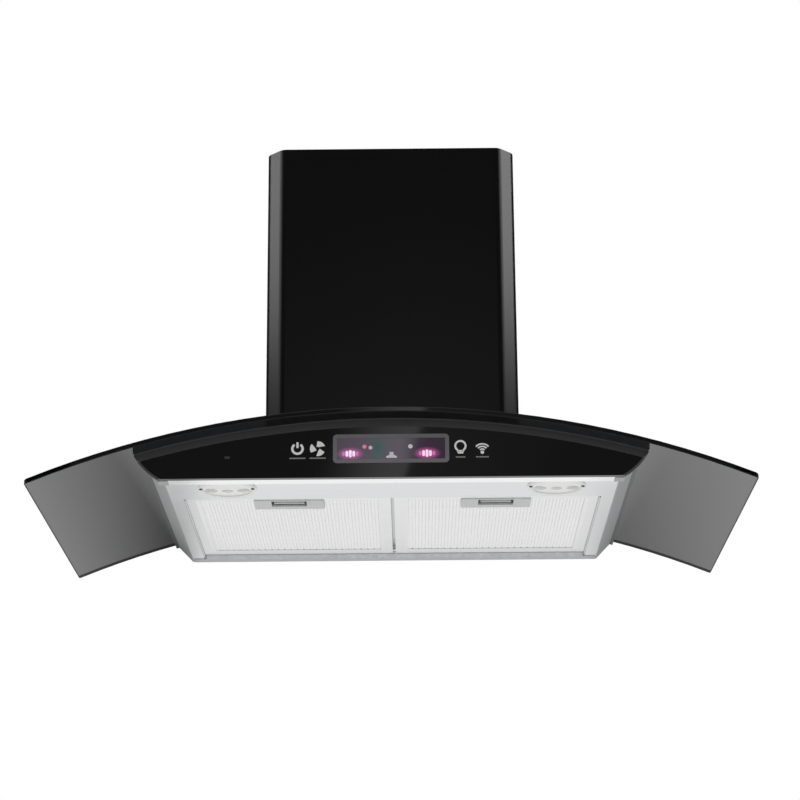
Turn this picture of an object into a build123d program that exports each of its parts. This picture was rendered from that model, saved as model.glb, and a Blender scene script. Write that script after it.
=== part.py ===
from build123d import *
from math import asin, cos, radians, sin, sqrt
import os

# Wall mount range hood with a bent glass canopy.
# X runs along the wall, -Y points into the room and +Z is up. Sizes are in millimetres.
# The origin lies on the wall, halfway between the two screws of the wall bracket.

# Shared clearances and sheet sizes
FIT = 0.1
RUN = 0.05
GAP = 0.3
SHEET = 1.0
STRAP = 2.0

# Glass canopy
GLASS_WIDTH = 900.0
GLASS_DEPTH = 500.0
GLASS_THICKNESS = 6.0
GLASS_RADIUS = 1175.0
GLASS_RISE = 72.0
GLASS_WALL_GAP = 3.0
GLASS_CORNER = 4.0
GLASS_ARRIS = 0.8
NOTCH_CORNER = 15.0
GASKET_THICKNESS = 3.0
GASKET_WIDTH = 18.0
GASKET_INSET = 6.0

# Steel body
WALL_SCREW_HEIGHT = 260.0
RIM_WIDTH = 576.0
SIDE_LEAN = 24.0
SIDE_HEIGHT = 25.0
SIDE_FLANGE = 9.0
GLASS_OVERHANG = 24.0
BEAM_DROP = 12.0
BEAM_DEPTH = 19.0
BEAM_FLANGE = 10.0
RIM_EDGE = 18.0
BACK_EDGE = 18.0
LAMP_STRIP = 113.0
RECESS = 9.0
FRONT_LEDGE = 5.0
BACK_LEDGE = 10.0
HEM_RADIUS = 1.5

# Front panel with its display
FASCIA_DEPTH = 8.0
FASCIA_GAP = 1.5
FASCIA_SIDE = 2.0
FASCIA_LEAN = 30.0
FASCIA_BULGE = 3.0
BEVEL_HEIGHT = 11.0
BEVEL_DEPTH = 5.0
END_BEVEL = 2.5
FASCIA_SKIN = 3.0
PANEL_SCREW_INNER = 156.0
PANEL_SCREW_OUTER = 241.0
DISPLAY_HEIGHT = 25.0
BEZEL_WIDTH = 144.0
BEZEL_HEIGHT = 37.0
BEZEL_BORDER = 5.0
BEZEL_CORNER = 5.0
BEZEL_INLAY = 1.2
BEZEL_PROUD = 0.4
LENS_RECESS = 0.3
TOUCH_REACH = 60.0
BOARD_THICKNESS = 1.6
BOARD_BORDER = 3.0
MODULE_DEPTH = 3.6
SENSOR_X = -203.0
SENSOR_HEIGHT = 15.0
SENSOR_LENGTH = 7.0
SENSOR_WIDTH = 3.2

# Lamps
LAMP_SPACING = 419.0
LAMP_SETBACK = 62.0
LAMP_RADIUS = 37.5
LAMP_TUBE_RADIUS = 32.5
LAMP_WALL = 1.5
LAMP_FLANGE = 2.5
LAMP_HEIGHT = 16.0
LAMP_LENS = 3.0
LED_RADIUS = 4.0
LED_RING = 14.0
LED_COUNT = 3
LED_HEIGHT = 1.2

# Grease filters and their latches
FILTER_SIDE_GAP = 2.0
FILTER_SPLIT = 4.0
FILTER_FRONT_GAP = 1.5
FILTER_BACK_GAP = 3.0
FILTER_LIFT = 3.0
FILTER_THICKNESS = 9.0
FRAME_BAR = 12.0
FRAME_WALL = 1.0
TAB_WIDTH = 30.0
TAB_INSET = 18.0
TAB_REACH = 11.0
TAB_THICKNESS = 1.2
MESH_COLUMNS = 17
MESH_ROWS = 15
MESH_STRAND = 2.4
LATCH_WIDTH = 88.0
LATCH_DEPTH = 38.0
LATCH_WALL = 1.5
LATCH_BEZEL = 1.2
FINGER_WIDTH = 46.0
FINGER_DEPTH = 25.0
SLIDER_THICKNESS = 1.6
SLIDER_WIDTH = 40.0
SLIDER_LENGTH = 20.0
TONGUE_WIDTH = 24.0
TONGUE_BITE = 2.5
GRIP_THICKNESS = 3.0
LATCH_TRAVEL = 6.0
SPRING_RADIUS = 1.8
SPRING_WIRE = 0.25
SPRING_TURNS = 8
BAR_WIDTH = 24.0
BAR_LIFT = 1.0

# Blower
IMPELLER_RADIUS = 88.0
IMPELLER_WIDTH = 86.0
IMPELLER_TIP_GAP = 6.0
IMPELLER_SIDE_GAP = 7.0
IMPELLER_PLATE = 2.0
BLADE_COUNT = 36
BLADE_CHORD = 15.0
BLADE_THICKNESS = 1.2
BLADE_ANGLE = 30.0
HUB_RADIUS = 14.0
HUB_LENGTH = 40.0
SCROLL_GROWTH = 30.0
SCROLL_WALL = 2.0
SCROLL_ROOM = 6.0
SCROLL_DECK_GAP = 5.0
SCROLL_CUTOFF = 60.0
SCROLL_STEPS = 20
INLET_RADIUS = 66.0
OUTLET_RISE = 144.0
SHAFT_RADIUS = 5.0
BEARING_RADIUS = 11.0
BEARING_WIDTH = 7.0
BEARING_WALL = 2.5
MOTOR_RADIUS = 44.0
MOTOR_LENGTH = 52.0
MOTOR_WALL = 2.0
MOTOR_ROOM = 8.5
STATOR_LENGTH = 28.0
STATOR_BORE = 27.0
ROTOR_AIR_GAP = 0.5
SPIDER_ARMS = 3
SPIDER_ARM_WIDTH = 16.0
SPIDER_OVERLAP = 12.0

# Blower box and wall bracket
BOX_WALL_GAP = 10.0
BOX_FLANGE = 14.0
NOTCH_ROOM = 4.0
NOTCH_FRONT_ROOM = 17.0
BRACKET_WIDTH = 230.0
BRACKET_HEIGHT = 50.0
WALL_SCREW_SPACING = 200.0
WALL_SCREW_HOLE = 7.0
HOOK_SPACING = 150.0
HOOK_WIDTH = 20.0
HOOK_HEIGHT = 12.0
HOOK_LEVEL = 4.0
HOOK_ROOM = 2.0
SLOT_SIDE_ROOM = 1.0

# Outlet collar with its backdraft flaps
COLLAR_RADIUS = 75.0
COLLAR_WALL = 2.0
COLLAR_LENGTH = 50.0
COLLAR_BASE = 2.0
COLLAR_FLANGE = 4.0
COLLAR_EDGE_ROOM = 1.0
FLAP_LEVEL = 22.0
FLAP_THICKNESS = 1.2
FLAP_EDGE_GAP = 0.7
FLAP_SEAT = 4.0
FLAP_SEAT_HEIGHT = 2.0
PIN_RADIUS = 2.0
KNUCKLE_RADIUS = 4.0
KNUCKLE_GAP = 1.0
KNUCKLE_COUNT = 4
KNUCKLE_END_ROOM = 4.0

# Electrics on top of the blower box
CONTROL_INSET = 5.0
CONTROL_HEIGHT = 40.0
CONTROL_WALL = 2.0
CONTROL_RAIL = 5.0
CAPACITOR_RADIUS = 18.0
CAPACITOR_HEIGHT = 58.0
GLAND_RADIUS = 8.0
GLAND_FLANGE = 11.0
GLAND_FLANGE_DEPTH = 4.0
GLAND_LENGTH = 20.0
GLAND_BORE = 4.0

# Chimney cover and what holds it
CHIMNEY_RISE = 516.0
CHIMNEY_SIDE_ROOM = 46.0
CHIMNEY_FRONT_ROOM = 35.0
CHIMNEY_WALL_GAP = 1.0
CHIMNEY_CHAMFER = 21.0
CHIMNEY_BEND = 14.0
CHIMNEY_BRACKET_HEIGHT = 30.0
CHIMNEY_BRACKET_DROP = 15.0
CHIMNEY_BRACKET_TAB = 40.0
CHIMNEY_SCREW_SPACING = 240.0
STAY_LEVEL = 150.0
STAY_WIDTH = 40.0
STAY_HEIGHT = 30.0

# Fasteners
SCREW_RADIUS = 2.0
SCREW_HEAD_RADIUS = 3.8
SCREW_HEAD = 2.4
SCREW_LENGTH = 6.0
GLASS_BOLT_RADIUS = 2.5
GLASS_BOLT_HEAD_RADIUS = 5.0
GLASS_BOLT_HEAD = 3.5
GLASS_BOLT_LENGTH = 20.0
GLASS_HOLE_RADIUS = 4.5
GLASS_BOLT_EDGE = 13.0
GLASS_BOLT_ENDS = 50.0
WASHER_RADIUS = 8.0
NUT_RADIUS = 4.6
NUT_HEIGHT = 4.0

# Levels and places worked out from the sizes above
RIM_Z = -WALL_SCREW_HEIGHT
ARCH_Z = RIM_Z + GLASS_RISE - GLASS_RADIUS
GLASS_UNDER = GLASS_RADIUS - GLASS_THICKNESS
DECK_RADIUS = GLASS_UNDER - GASKET_THICKNESS
DECK_UNDER = DECK_RADIUS - SHEET
DECK_TOP_Z = ARCH_Z + DECK_RADIUS
FASCIA_RADIUS = GLASS_UNDER - FASCIA_GAP
FASCIA_FRONT = -GLASS_DEPTH + GLASS_OVERHANG
FRONT_Y = FASCIA_FRONT + FASCIA_DEPTH
BEAM_BACK = FRONT_Y + BEAM_DEPTH
BEAM_Z = RIM_Z - BEAM_DROP
RIM_HALF = RIM_WIDTH / 2
SIDE_TOP_HALF = RIM_HALF + SIDE_LEAN
SIDE_RUN = SIDE_LEAN / SIDE_HEIGHT
SIDE_CUT = SHEET * sqrt(1 + SIDE_RUN**2)
UNDERSIDE_HALF = RIM_HALF - SIDE_CUT - FIT
OPENING_HALF = RIM_HALF - RIM_EDGE
OPENING_FRONT = BEAM_BACK + LAMP_STRIP
OPENING_BACK = -BACK_EDGE
LEDGE_Z = RIM_Z + RECESS
FASCIA_HALF = RIM_HALF + FASCIA_SIDE
FASCIA_TOP_HALF = FASCIA_HALF + FASCIA_LEAN
DISPLAY_Z = RIM_Z + DISPLAY_HEIGHT
LAMP_X = LAMP_SPACING / 2
LAMP_Y = BEAM_BACK + LAMP_SETBACK

SCROLL_START = IMPELLER_RADIUS + IMPELLER_TIP_GAP
SCROLL_END = SCROLL_START + SCROLL_GROWTH


def scroll_radius(turn):
    """Inside radius of the scroll at an angle in degrees, counted from the +X side."""
    return SCROLL_START + SCROLL_GROWTH * (turn - SCROLL_CUTOFF) / (360 - SCROLL_CUTOFF)


SCROLL_LEFT = scroll_radius(180) + SCROLL_WALL
SCROLL_RIGHT = SCROLL_END + SCROLL_WALL
SCROLL_X = (SCROLL_LEFT - SCROLL_RIGHT) / 2
SCROLL_Z = DECK_TOP_Z + SCROLL_DECK_GAP + scroll_radius(270) + SCROLL_WALL
SCROLL_HALF = IMPELLER_WIDTH / 2 + IMPELLER_SIDE_GAP + SCROLL_WALL
BOX_HALF = (SCROLL_LEFT + SCROLL_RIGHT) / 2 + SCROLL_ROOM + SHEET
BOX_HALF_DEPTH = SCROLL_HALF + STRAP + MOTOR_LENGTH + MOTOR_WALL + MOTOR_ROOM + SHEET
BOX_BACK = -BOX_WALL_GAP
BOX_MID = BOX_BACK - BOX_HALF_DEPTH
BOX_FRONT = BOX_MID - BOX_HALF_DEPTH
BOX_ROOF = SCROLL_Z + OUTLET_RISE
BOX_TOP = BOX_ROOF + SHEET
TONGUE_X = SCROLL_X + SCROLL_START * cos(radians(SCROLL_CUTOFF))
OUTLET_X = SCROLL_X + SCROLL_END
SCROLL_BACK = BOX_MID + SCROLL_HALF
MOTOR_FRONT = SCROLL_BACK + STRAP
MOTOR_BACK = MOTOR_FRONT + MOTOR_LENGTH
WINDOW_HALF = BOX_HALF - SHEET
NOTCH_HALF = BOX_HALF + BOX_FLANGE + NOTCH_ROOM
NOTCH_FRONT = BOX_FRONT - NOTCH_FRONT_ROOM
COLLAR_X = BOX_HALF - COLLAR_EDGE_ROOM - COLLAR_FLANGE - COLLAR_RADIUS
COLLAR_Y = BOX_MID
COLLAR_BORE = COLLAR_RADIUS - COLLAR_WALL
FLAP_Z = BOX_TOP + FLAP_LEVEL
CHIMNEY_HALF = BOX_HALF + CHIMNEY_SIDE_ROOM
CHIMNEY_FRONT = BOX_FRONT - CHIMNEY_FRONT_ROOM
CHIMNEY_TOP = RIM_Z + CHIMNEY_RISE
CHIMNEY_INSIDE = CHIMNEY_HALF - SHEET
STAY_Z = RIM_Z + STAY_LEVEL
BRACKET_TAB_Z = CHIMNEY_TOP - CHIMNEY_BRACKET_DROP - CHIMNEY_BRACKET_HEIGHT / 2

FILTER_Z = RIM_Z + FILTER_LIFT
FILTER_TOP = FILTER_Z + FILTER_THICKNESS
FILTER_FRONT = OPENING_FRONT + FRONT_LEDGE + FILTER_FRONT_GAP
HEM_Y = OPENING_BACK - BACK_LEDGE
HEM_Z = LEDGE_Z - SHEET / 2
FILTER_BACK = HEM_Y - FILTER_BACK_GAP
FILTER_WIDTH = OPENING_HALF - FILTER_SIDE_GAP - FILTER_SPLIT / 2
FILTER_X = FILTER_SPLIT / 2 + FILTER_WIDTH / 2
LATCH_FRONT = FILTER_FRONT + FRAME_BAR
LATCH_BACK = LATCH_FRONT + LATCH_DEPTH
SLIDER_Z = LEDGE_Z + GAP
SLIDER_TOP = SLIDER_Z + SLIDER_THICKNESS
TONGUE_TIP = OPENING_FRONT + FRONT_LEDGE - TONGUE_BITE
SLIDER_FRONT = LATCH_FRONT + LATCH_WALL + GAP
SLIDER_BACK = SLIDER_FRONT + SLIDER_LENGTH
GRIP_BACK = SLIDER_FRONT + FINGER_DEPTH - LATCH_TRAVEL - LATCH_WALL * 2
SIDES = (("left", -1), ("right", 1))

os.makedirs("parts", exist_ok=True)


def at_y(y):
    """Upright plane at a depth, seen from the room, with X to the right and Z up."""
    return Plane.XZ.offset(-y)


def span(first, second):
    """Middle and length between two places on one axis."""
    return (first + second) / 2, abs(second - first)


def block(x, y, z, mode=Mode.ADD):
    """A straight block between two places along each axis."""
    middle_x, length = span(*x)
    middle_y, depth = span(*y)
    middle_z, height = span(*z)
    with Locations((middle_x, middle_y, middle_z)):
        Box(length, depth, height, mode=mode)


def disc_z(x, y, z, radius, bore=0.0, mode=Mode.ADD):
    """An upright disc, or a ring where a bore is given."""
    with BuildSketch(Plane.XY.offset(min(z))) as outline:
        with Locations((x, y)):
            Circle(radius)
            if bore:
                Circle(bore, mode=Mode.SUBTRACT)
    extrude(outline.sketch, amount=span(*z)[1], mode=mode)


def disc_y(x, z, y, radius, bore=0.0, mode=Mode.ADD):
    """A disc or ring on an axis that runs from the wall into the room."""
    with BuildSketch(at_y(max(y))) as outline:
        with Locations((x, z)):
            Circle(radius)
            if bore:
                Circle(bore, mode=Mode.SUBTRACT)
    extrude(outline.sketch, amount=span(*y)[1], mode=mode)


def blower_ring(y, radius, bore=0.0, mode=Mode.ADD):
    """A ring on the blower's axis."""
    disc_y(SCROLL_X, SCROLL_Z, y, radius, bore, mode)


def arch(outer, inner, half_width, y):
    """A bent sheet that follows the glass, between two radii."""
    with BuildSketch(at_y(max(y))) as band:
        with Locations((0, ARCH_Z)):
            Circle(outer)
            Circle(inner, mode=Mode.SUBTRACT)
        with Locations((0, ARCH_Z + outer)):
            Rectangle(2 * half_width, outer, mode=Mode.INTERSECT)
    extrude(band.sketch, amount=span(*y)[1])


def cut_below_arch(radius):
    """Trim a piece so that it stands on a bent sheet of this radius."""
    with Locations((0, -GLASS_DEPTH / 2, ARCH_Z)):
        Cylinder(radius, 2 * GLASS_DEPTH, rotation=(90, 0, 0), mode=Mode.SUBTRACT)


def keep_below_arch(radius):
    """Trim a piece so that it ends under a bent sheet of this radius."""
    with Locations((0, -GLASS_DEPTH / 2, ARCH_Z)):
        Cylinder(radius, 2 * GLASS_DEPTH, rotation=(90, 0, 0), mode=Mode.INTERSECT)


def arch_plane(x, y, radius):
    """Plane square to the bent sheets, for a bolt that meets the glass at x."""
    lean = asin(x / GLASS_RADIUS)
    return Plane(
        origin=(radius * sin(lean), y, ARCH_Z + radius * cos(lean)),
        x_dir=(0, 1, 0),
        z_dir=(sin(lean), 0, cos(lean)),
    )


def peg(plane, radius, start, end, mode=Mode.ADD):
    """A round peg along a plane's normal, between two heights over the plane."""
    with BuildSketch(plane.offset(start)) as outline:
        Circle(radius)
    extrude(outline.sketch, amount=end - start, mode=mode)


def screw(plane):
    """A pan-head screw whose head sits on the plane."""
    peg(plane, SCREW_HEAD_RADIUS, 0, SCREW_HEAD)
    peg(plane, SCREW_RADIUS, -SCREW_LENGTH, 0)


def screw_holes(planes, depth):
    """Clearance holes for screws, cut to both sides of their seats."""
    for plane in planes:
        peg(plane, SCREW_RADIUS + FIT, -depth, depth, Mode.SUBTRACT)


def panel_outline(half_bottom, half_top, radius, bulge, plane):
    """Front outline: straight below, leaning ends and a top edge that follows the glass."""
    end_z = ARCH_Z + sqrt(radius**2 - half_top**2)
    with BuildSketch(plane) as outline:
        with BuildLine():
            Line((-half_bottom, BEAM_Z), (half_bottom, BEAM_Z))
            SagittaArc((half_bottom, BEAM_Z), (half_top, end_z), -bulge)
            ThreePointArc((half_top, end_z), (0, ARCH_Z + radius), (-half_top, end_z))
            SagittaArc((-half_top, end_z), (-half_bottom, BEAM_Z), -bulge)
        make_face()
    return outline.sketch


def volute(y, wall, extra_top):
    """The scroll's passage, or its outside where a wall is added to it."""
    step = (360 - SCROLL_CUTOFF) / SCROLL_STEPS
    turns = [SCROLL_CUTOFF + step * i for i in range(SCROLL_STEPS + 1)]
    points = [
        (
            SCROLL_X + (scroll_radius(turn) + wall) * cos(radians(turn)),
            SCROLL_Z + (scroll_radius(turn) + wall) * sin(radians(turn)),
        )
        for turn in turns
    ]
    with BuildSketch(at_y(max(y))) as passage:
        with BuildLine():
            winding = Spline(*points)
            Line(winding @ 1, winding @ 0)
        make_face()
        middle, width = span(TONGUE_X - wall, OUTLET_X + wall)
        rise_middle, rise = span(SCROLL_Z, BOX_ROOF + extra_top)
        with Locations((middle, rise_middle)):
            Rectangle(width, rise)
    return passage.sketch


def finish(part, label):
    """Name a finished piece and write it."""
    part.label = label
    export_step(part, f"parts/{label}.step")


# Seats of the fasteners
BOX_SEAT_X = BOX_HALF + BOX_FLANGE / 2
BOX_SEAT_LEVEL = DECK_RADIUS + FIT + SHEET
BOX_SEATS = [
    arch_plane(side * BOX_SEAT_X, BOX_MID + end * BOX_HALF_DEPTH / 2, BOX_SEAT_LEVEL)
    for side in (-1, 1)
    for end in (-1, 1)
]
GLASS_BOLTS = [
    (side * (NOTCH_HALF + GLASS_BOLT_EDGE), y)
    for side in (-1, 1)
    for y in (-GLASS_BOLT_ENDS, NOTCH_FRONT + GLASS_BOLT_ENDS)
]
COLLAR_CORNER = COLLAR_RADIUS + COLLAR_FLANGE - SCREW_HEAD_RADIUS - FIT
COLLAR_SEATS = [
    Plane(origin=(COLLAR_X + i * COLLAR_CORNER, COLLAR_Y + j * COLLAR_CORNER, BOX_TOP + COLLAR_BASE))
    for i in (-1, 1)
    for j in (-1, 1)
]
FASCIA_SEATS = [
    Plane(origin=(x, FRONT_Y + SHEET, DISPLAY_Z), x_dir=(1, 0, 0), z_dir=(0, 1, 0))
    for x in (-PANEL_SCREW_OUTER, -PANEL_SCREW_INNER, PANEL_SCREW_INNER, PANEL_SCREW_OUTER)
]
CHIMNEY_SEATS = [
    Plane(origin=(side * CHIMNEY_HALF, y, z), x_dir=(0, 1, 0), z_dir=(side, 0, 0))
    for side in (-1, 1)
    for y, z in (
        (-CHIMNEY_BRACKET_TAB / 2, BRACKET_TAB_Z),
        (BOX_MID, STAY_Z + STAY_HEIGHT / 2),
    )
]
SPIDER_REACH = INLET_RADIUS + SPIDER_OVERLAP
SPIDER_TURNS = [90 + 360 * i / SPIDER_ARMS for i in range(SPIDER_ARMS)]
SPIDER_SEATS = [
    Plane(
        origin=(
            SCROLL_X + (SPIDER_REACH - SPIDER_OVERLAP / 2) * cos(radians(turn)),
            MOTOR_FRONT,
            SCROLL_Z + (SPIDER_REACH - SPIDER_OVERLAP / 2) * sin(radians(turn)),
        ),
        x_dir=(1, 0, 0),
        z_dir=(0, 1, 0),
    )
    for turn in SPIDER_TURNS
]

# Bent glass, with a notch behind that lets the blower box through
with BuildPart() as glass_canopy:
    arch(GLASS_RADIUS, GLASS_UNDER, GLASS_WIDTH / 2, (-GLASS_DEPTH, -GLASS_WALL_GAP))
    fillet(glass_canopy.edges().filter_by(Axis.Z), GLASS_CORNER)
    notch_depth = -NOTCH_FRONT + NOTCH_CORNER
    with BuildSketch(Plane.XY.offset(RIM_Z)):
        with Locations((0, NOTCH_FRONT + notch_depth / 2)):
            RectangleRounded(2 * NOTCH_HALF, notch_depth, NOTCH_CORNER)
    extrude(amount=GLASS_RISE + GLASS_THICKNESS, mode=Mode.SUBTRACT)
    for bolt_x, bolt_y in GLASS_BOLTS:
        bolt_plane = arch_plane(bolt_x, bolt_y, GLASS_RADIUS)
        peg(bolt_plane, GLASS_HOLE_RADIUS, -2 * GLASS_THICKNESS, GLASS_THICKNESS, Mode.SUBTRACT)
    front_face = glass_canopy.faces().sort_by(Axis.Y)[0]
    chamfer(front_face.edges(), GLASS_ARRIS)
finish(glass_canopy.part, "glass_canopy")

# Rubber strip between the steel deck and the glass
with BuildPart() as glass_gasket:
    strip_half = SIDE_TOP_HALF - GASKET_INSET
    strip_front = FRONT_Y + SHEET + GASKET_INSET
    strip_back = -GLASS_WALL_GAP - GASKET_INSET
    arch(GLASS_UNDER - FIT, DECK_RADIUS + FIT, strip_half, (strip_front, strip_back))
    tall = (RIM_Z - GLASS_RISE, RIM_Z + 2 * GLASS_RISE)
    inner_half = strip_half - GASKET_WIDTH
    inside = (strip_front + GASKET_WIDTH, strip_back - GASKET_WIDTH)
    block((-inner_half, inner_half), inside, tall, Mode.SUBTRACT)
    block((-NOTCH_HALF, NOTCH_HALF), (NOTCH_FRONT, 0), tall, Mode.SUBTRACT)
finish(glass_gasket.part, "glass_gasket")

# Bolts that hold the glass, with a rubber washer above and below it
washer_thickness = GASKET_THICKNESS - 2 * FIT
bolt_head_level = GLASS_RADIUS + FIT + washer_thickness
with BuildPart() as glass_washers:
    for bolt_x, bolt_y in GLASS_BOLTS:
        for level in (GLASS_RADIUS + FIT, DECK_RADIUS + FIT):
            washer_plane = arch_plane(bolt_x, bolt_y, level)
            peg(washer_plane, WASHER_RADIUS, 0, washer_thickness)
            peg(washer_plane, GLASS_BOLT_RADIUS + FIT, 0, washer_thickness, Mode.SUBTRACT)
finish(glass_washers.part, "glass_washers")

with BuildPart() as glass_screws:
    for bolt_x, bolt_y in GLASS_BOLTS:
        bolt_plane = arch_plane(bolt_x, bolt_y, bolt_head_level)
        peg(bolt_plane, GLASS_BOLT_HEAD_RADIUS, 0, GLASS_BOLT_HEAD)
        peg(bolt_plane, GLASS_BOLT_RADIUS, -GLASS_BOLT_LENGTH, 0)
finish(glass_screws.part, "glass_screws")

with BuildPart() as glass_nuts:
    for bolt_x, bolt_y in GLASS_BOLTS:
        nut_plane = arch_plane(bolt_x, bolt_y, DECK_UNDER - FIT)
        with BuildSketch(nut_plane) as nut:
            RegularPolygon(NUT_RADIUS, 6)
            Circle(GLASS_BOLT_RADIUS + RUN, mode=Mode.SUBTRACT)
        extrude(nut.sketch, amount=-NUT_HEIGHT)
finish(glass_nuts.part, "glass_nuts")

# Bent top sheet of the body, open under the blower box
with BuildPart() as body_deck:
    arch(DECK_RADIUS, DECK_UNDER, SIDE_TOP_HALF, (FRONT_Y + SHEET, -SHEET))
    window = (BOX_FRONT + SHEET, BOX_BACK - SHEET)
    block((-WINDOW_HALF, WINDOW_HALF), window, (RIM_Z, RIM_Z + 2 * GLASS_RISE), Mode.SUBTRACT)
    screw_holes(BOX_SEATS, SCREW_LENGTH)
    for bolt_x, bolt_y in GLASS_BOLTS:
        bolt_plane = arch_plane(bolt_x, bolt_y, DECK_RADIUS)
        peg(bolt_plane, GLASS_BOLT_RADIUS + FIT, -2 * SHEET, SHEET, Mode.SUBTRACT)
finish(body_deck.part, "body_deck")

# Front sheet behind the black panel, folded back below into a closed beam
with BuildPart() as body_front:
    beam_half = FASCIA_HALF - SHEET
    front_sheet = panel_outline(beam_half, SIDE_TOP_HALF, DECK_RADIUS, FASCIA_BULGE, at_y(FRONT_Y + SHEET))
    extrude(front_sheet, amount=SHEET)
    inside_front = FRONT_Y + SHEET
    block((-beam_half, beam_half), (inside_front, BEAM_BACK), (BEAM_Z, BEAM_Z + SHEET))
    flange_half = OPENING_HALF
    flange_top = RIM_Z + BEAM_FLANGE
    block((-flange_half, flange_half), (BEAM_BACK - SHEET, BEAM_BACK), (BEAM_Z, flange_top))
    block((-beam_half, beam_half), (BEAM_BACK - SHEET, BEAM_BACK), (BEAM_Z, RIM_Z - FIT))
    for side in (-1, 1):
        end_wall = (side * (beam_half - SHEET), side * beam_half)
        block(end_wall, (inside_front, BEAM_BACK), (BEAM_Z, RIM_Z - FIT))
    screw_holes(FASCIA_SEATS, 2 * SHEET)
finish(body_front.part, "body_front")

# Back sheet, flat against the wall
with BuildPart() as body_back:
    with BuildSketch(at_y(0)):
        with BuildLine():
            Polyline(
                (-RIM_HALF, RIM_Z),
                (RIM_HALF, RIM_Z),
                (RIM_HALF + SIDE_RUN * GLASS_RISE, RIM_Z + GLASS_RISE),
                (-RIM_HALF - SIDE_RUN * GLASS_RISE, RIM_Z + GLASS_RISE),
                close=True,
            )
        make_face()
    extrude(amount=SHEET)
    keep_below_arch(DECK_RADIUS)
finish(body_back.part, "body_back")

# Leaning side sheets, with a flange that lies on the underside sheet
for name, side in SIDES:
    with BuildPart() as side_panel:
        with BuildSketch(at_y(-SHEET)):
            with BuildLine():
                Polyline(
                    (side * RIM_HALF, RIM_Z),
                    (side * (RIM_HALF + SIDE_LEAN * 2), RIM_Z + SIDE_HEIGHT * 2),
                    (side * (RIM_HALF + SIDE_LEAN * 2 - SIDE_CUT), RIM_Z + SIDE_HEIGHT * 2),
                    (side * (RIM_HALF - SIDE_CUT), RIM_Z),
                    close=True,
                )
            make_face()
        extrude(amount=-SHEET - FRONT_Y - SHEET)
        keep_below_arch(DECK_UNDER - FIT)
        flange_z = (RIM_Z + SHEET, RIM_Z + 2 * SHEET)
        flange_root = RIM_HALF - SIDE_CUT / 2 + SIDE_RUN * (span(*flange_z)[0] - RIM_Z)
        flange = (side * flange_root, side * (flange_root - SIDE_FLANGE))
        block(flange, (BEAM_BACK + 2 * SHEET, -SHEET), flange_z)
    finish(side_panel.part, f"side_panel_{name}")

# Underside sheet: a lamp strip in front, then a recessed opening for the filters
with BuildPart() as underside_panel:
    block((-UNDERSIDE_HALF, UNDERSIDE_HALF), (BEAM_BACK, -SHEET), (RIM_Z, RIM_Z + SHEET))
    opening_x = (-OPENING_HALF, OPENING_HALF)
    wall_x = (-OPENING_HALF - SHEET, OPENING_HALF + SHEET)
    opening_y = (OPENING_FRONT, OPENING_BACK)
    wall_y = (OPENING_FRONT - SHEET, OPENING_BACK + SHEET)
    block(wall_x, wall_y, (RIM_Z, LEDGE_Z))
    block(opening_x, opening_y, (RIM_Z, LEDGE_Z - SHEET), Mode.SUBTRACT)
    inner_y = (OPENING_FRONT + FRONT_LEDGE, HEM_Y)
    block(opening_x, inner_y, (RIM_Z, LEDGE_Z), Mode.SUBTRACT)
    with Locations((0, HEM_Y, HEM_Z)):
        Cylinder(HEM_RADIUS, 2 * OPENING_HALF, rotation=(0, 90, 0))
    flange_x = (-OPENING_HALF, OPENING_HALF)
    block(flange_x, (BEAM_BACK, BEAM_BACK + SHEET), (RIM_Z, RIM_Z + BEAM_FLANGE))
    for name, side in SIDES:
        lamp_hole = (RIM_Z - SHEET, RIM_Z + 2 * SHEET)
        disc_z(side * LAMP_X, LAMP_Y, lamp_hole, LAMP_TUBE_RADIUS + FIT, mode=Mode.SUBTRACT)
finish(underside_panel.part, "underside_panel")

# Bar above the joint between the two filters, standing on the front and back ledges
with BuildPart() as filter_centre_bar:
    bar_x = (-BAR_WIDTH / 2, BAR_WIDTH / 2)
    bar_z = FILTER_TOP + BAR_LIFT
    bar_front = OPENING_FRONT + FRONT_LEDGE
    bar_back = HEM_Y + HEM_RADIUS + GAP
    block(bar_x, (OPENING_FRONT, OPENING_BACK), (bar_z, bar_z + SHEET))
    block(bar_x, (OPENING_FRONT, bar_front), (LEDGE_Z, bar_z))
    block(bar_x, (bar_back, OPENING_BACK), (LEDGE_Z, bar_z))
finish(filter_centre_bar.part, "filter_centre_bar")

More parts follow.
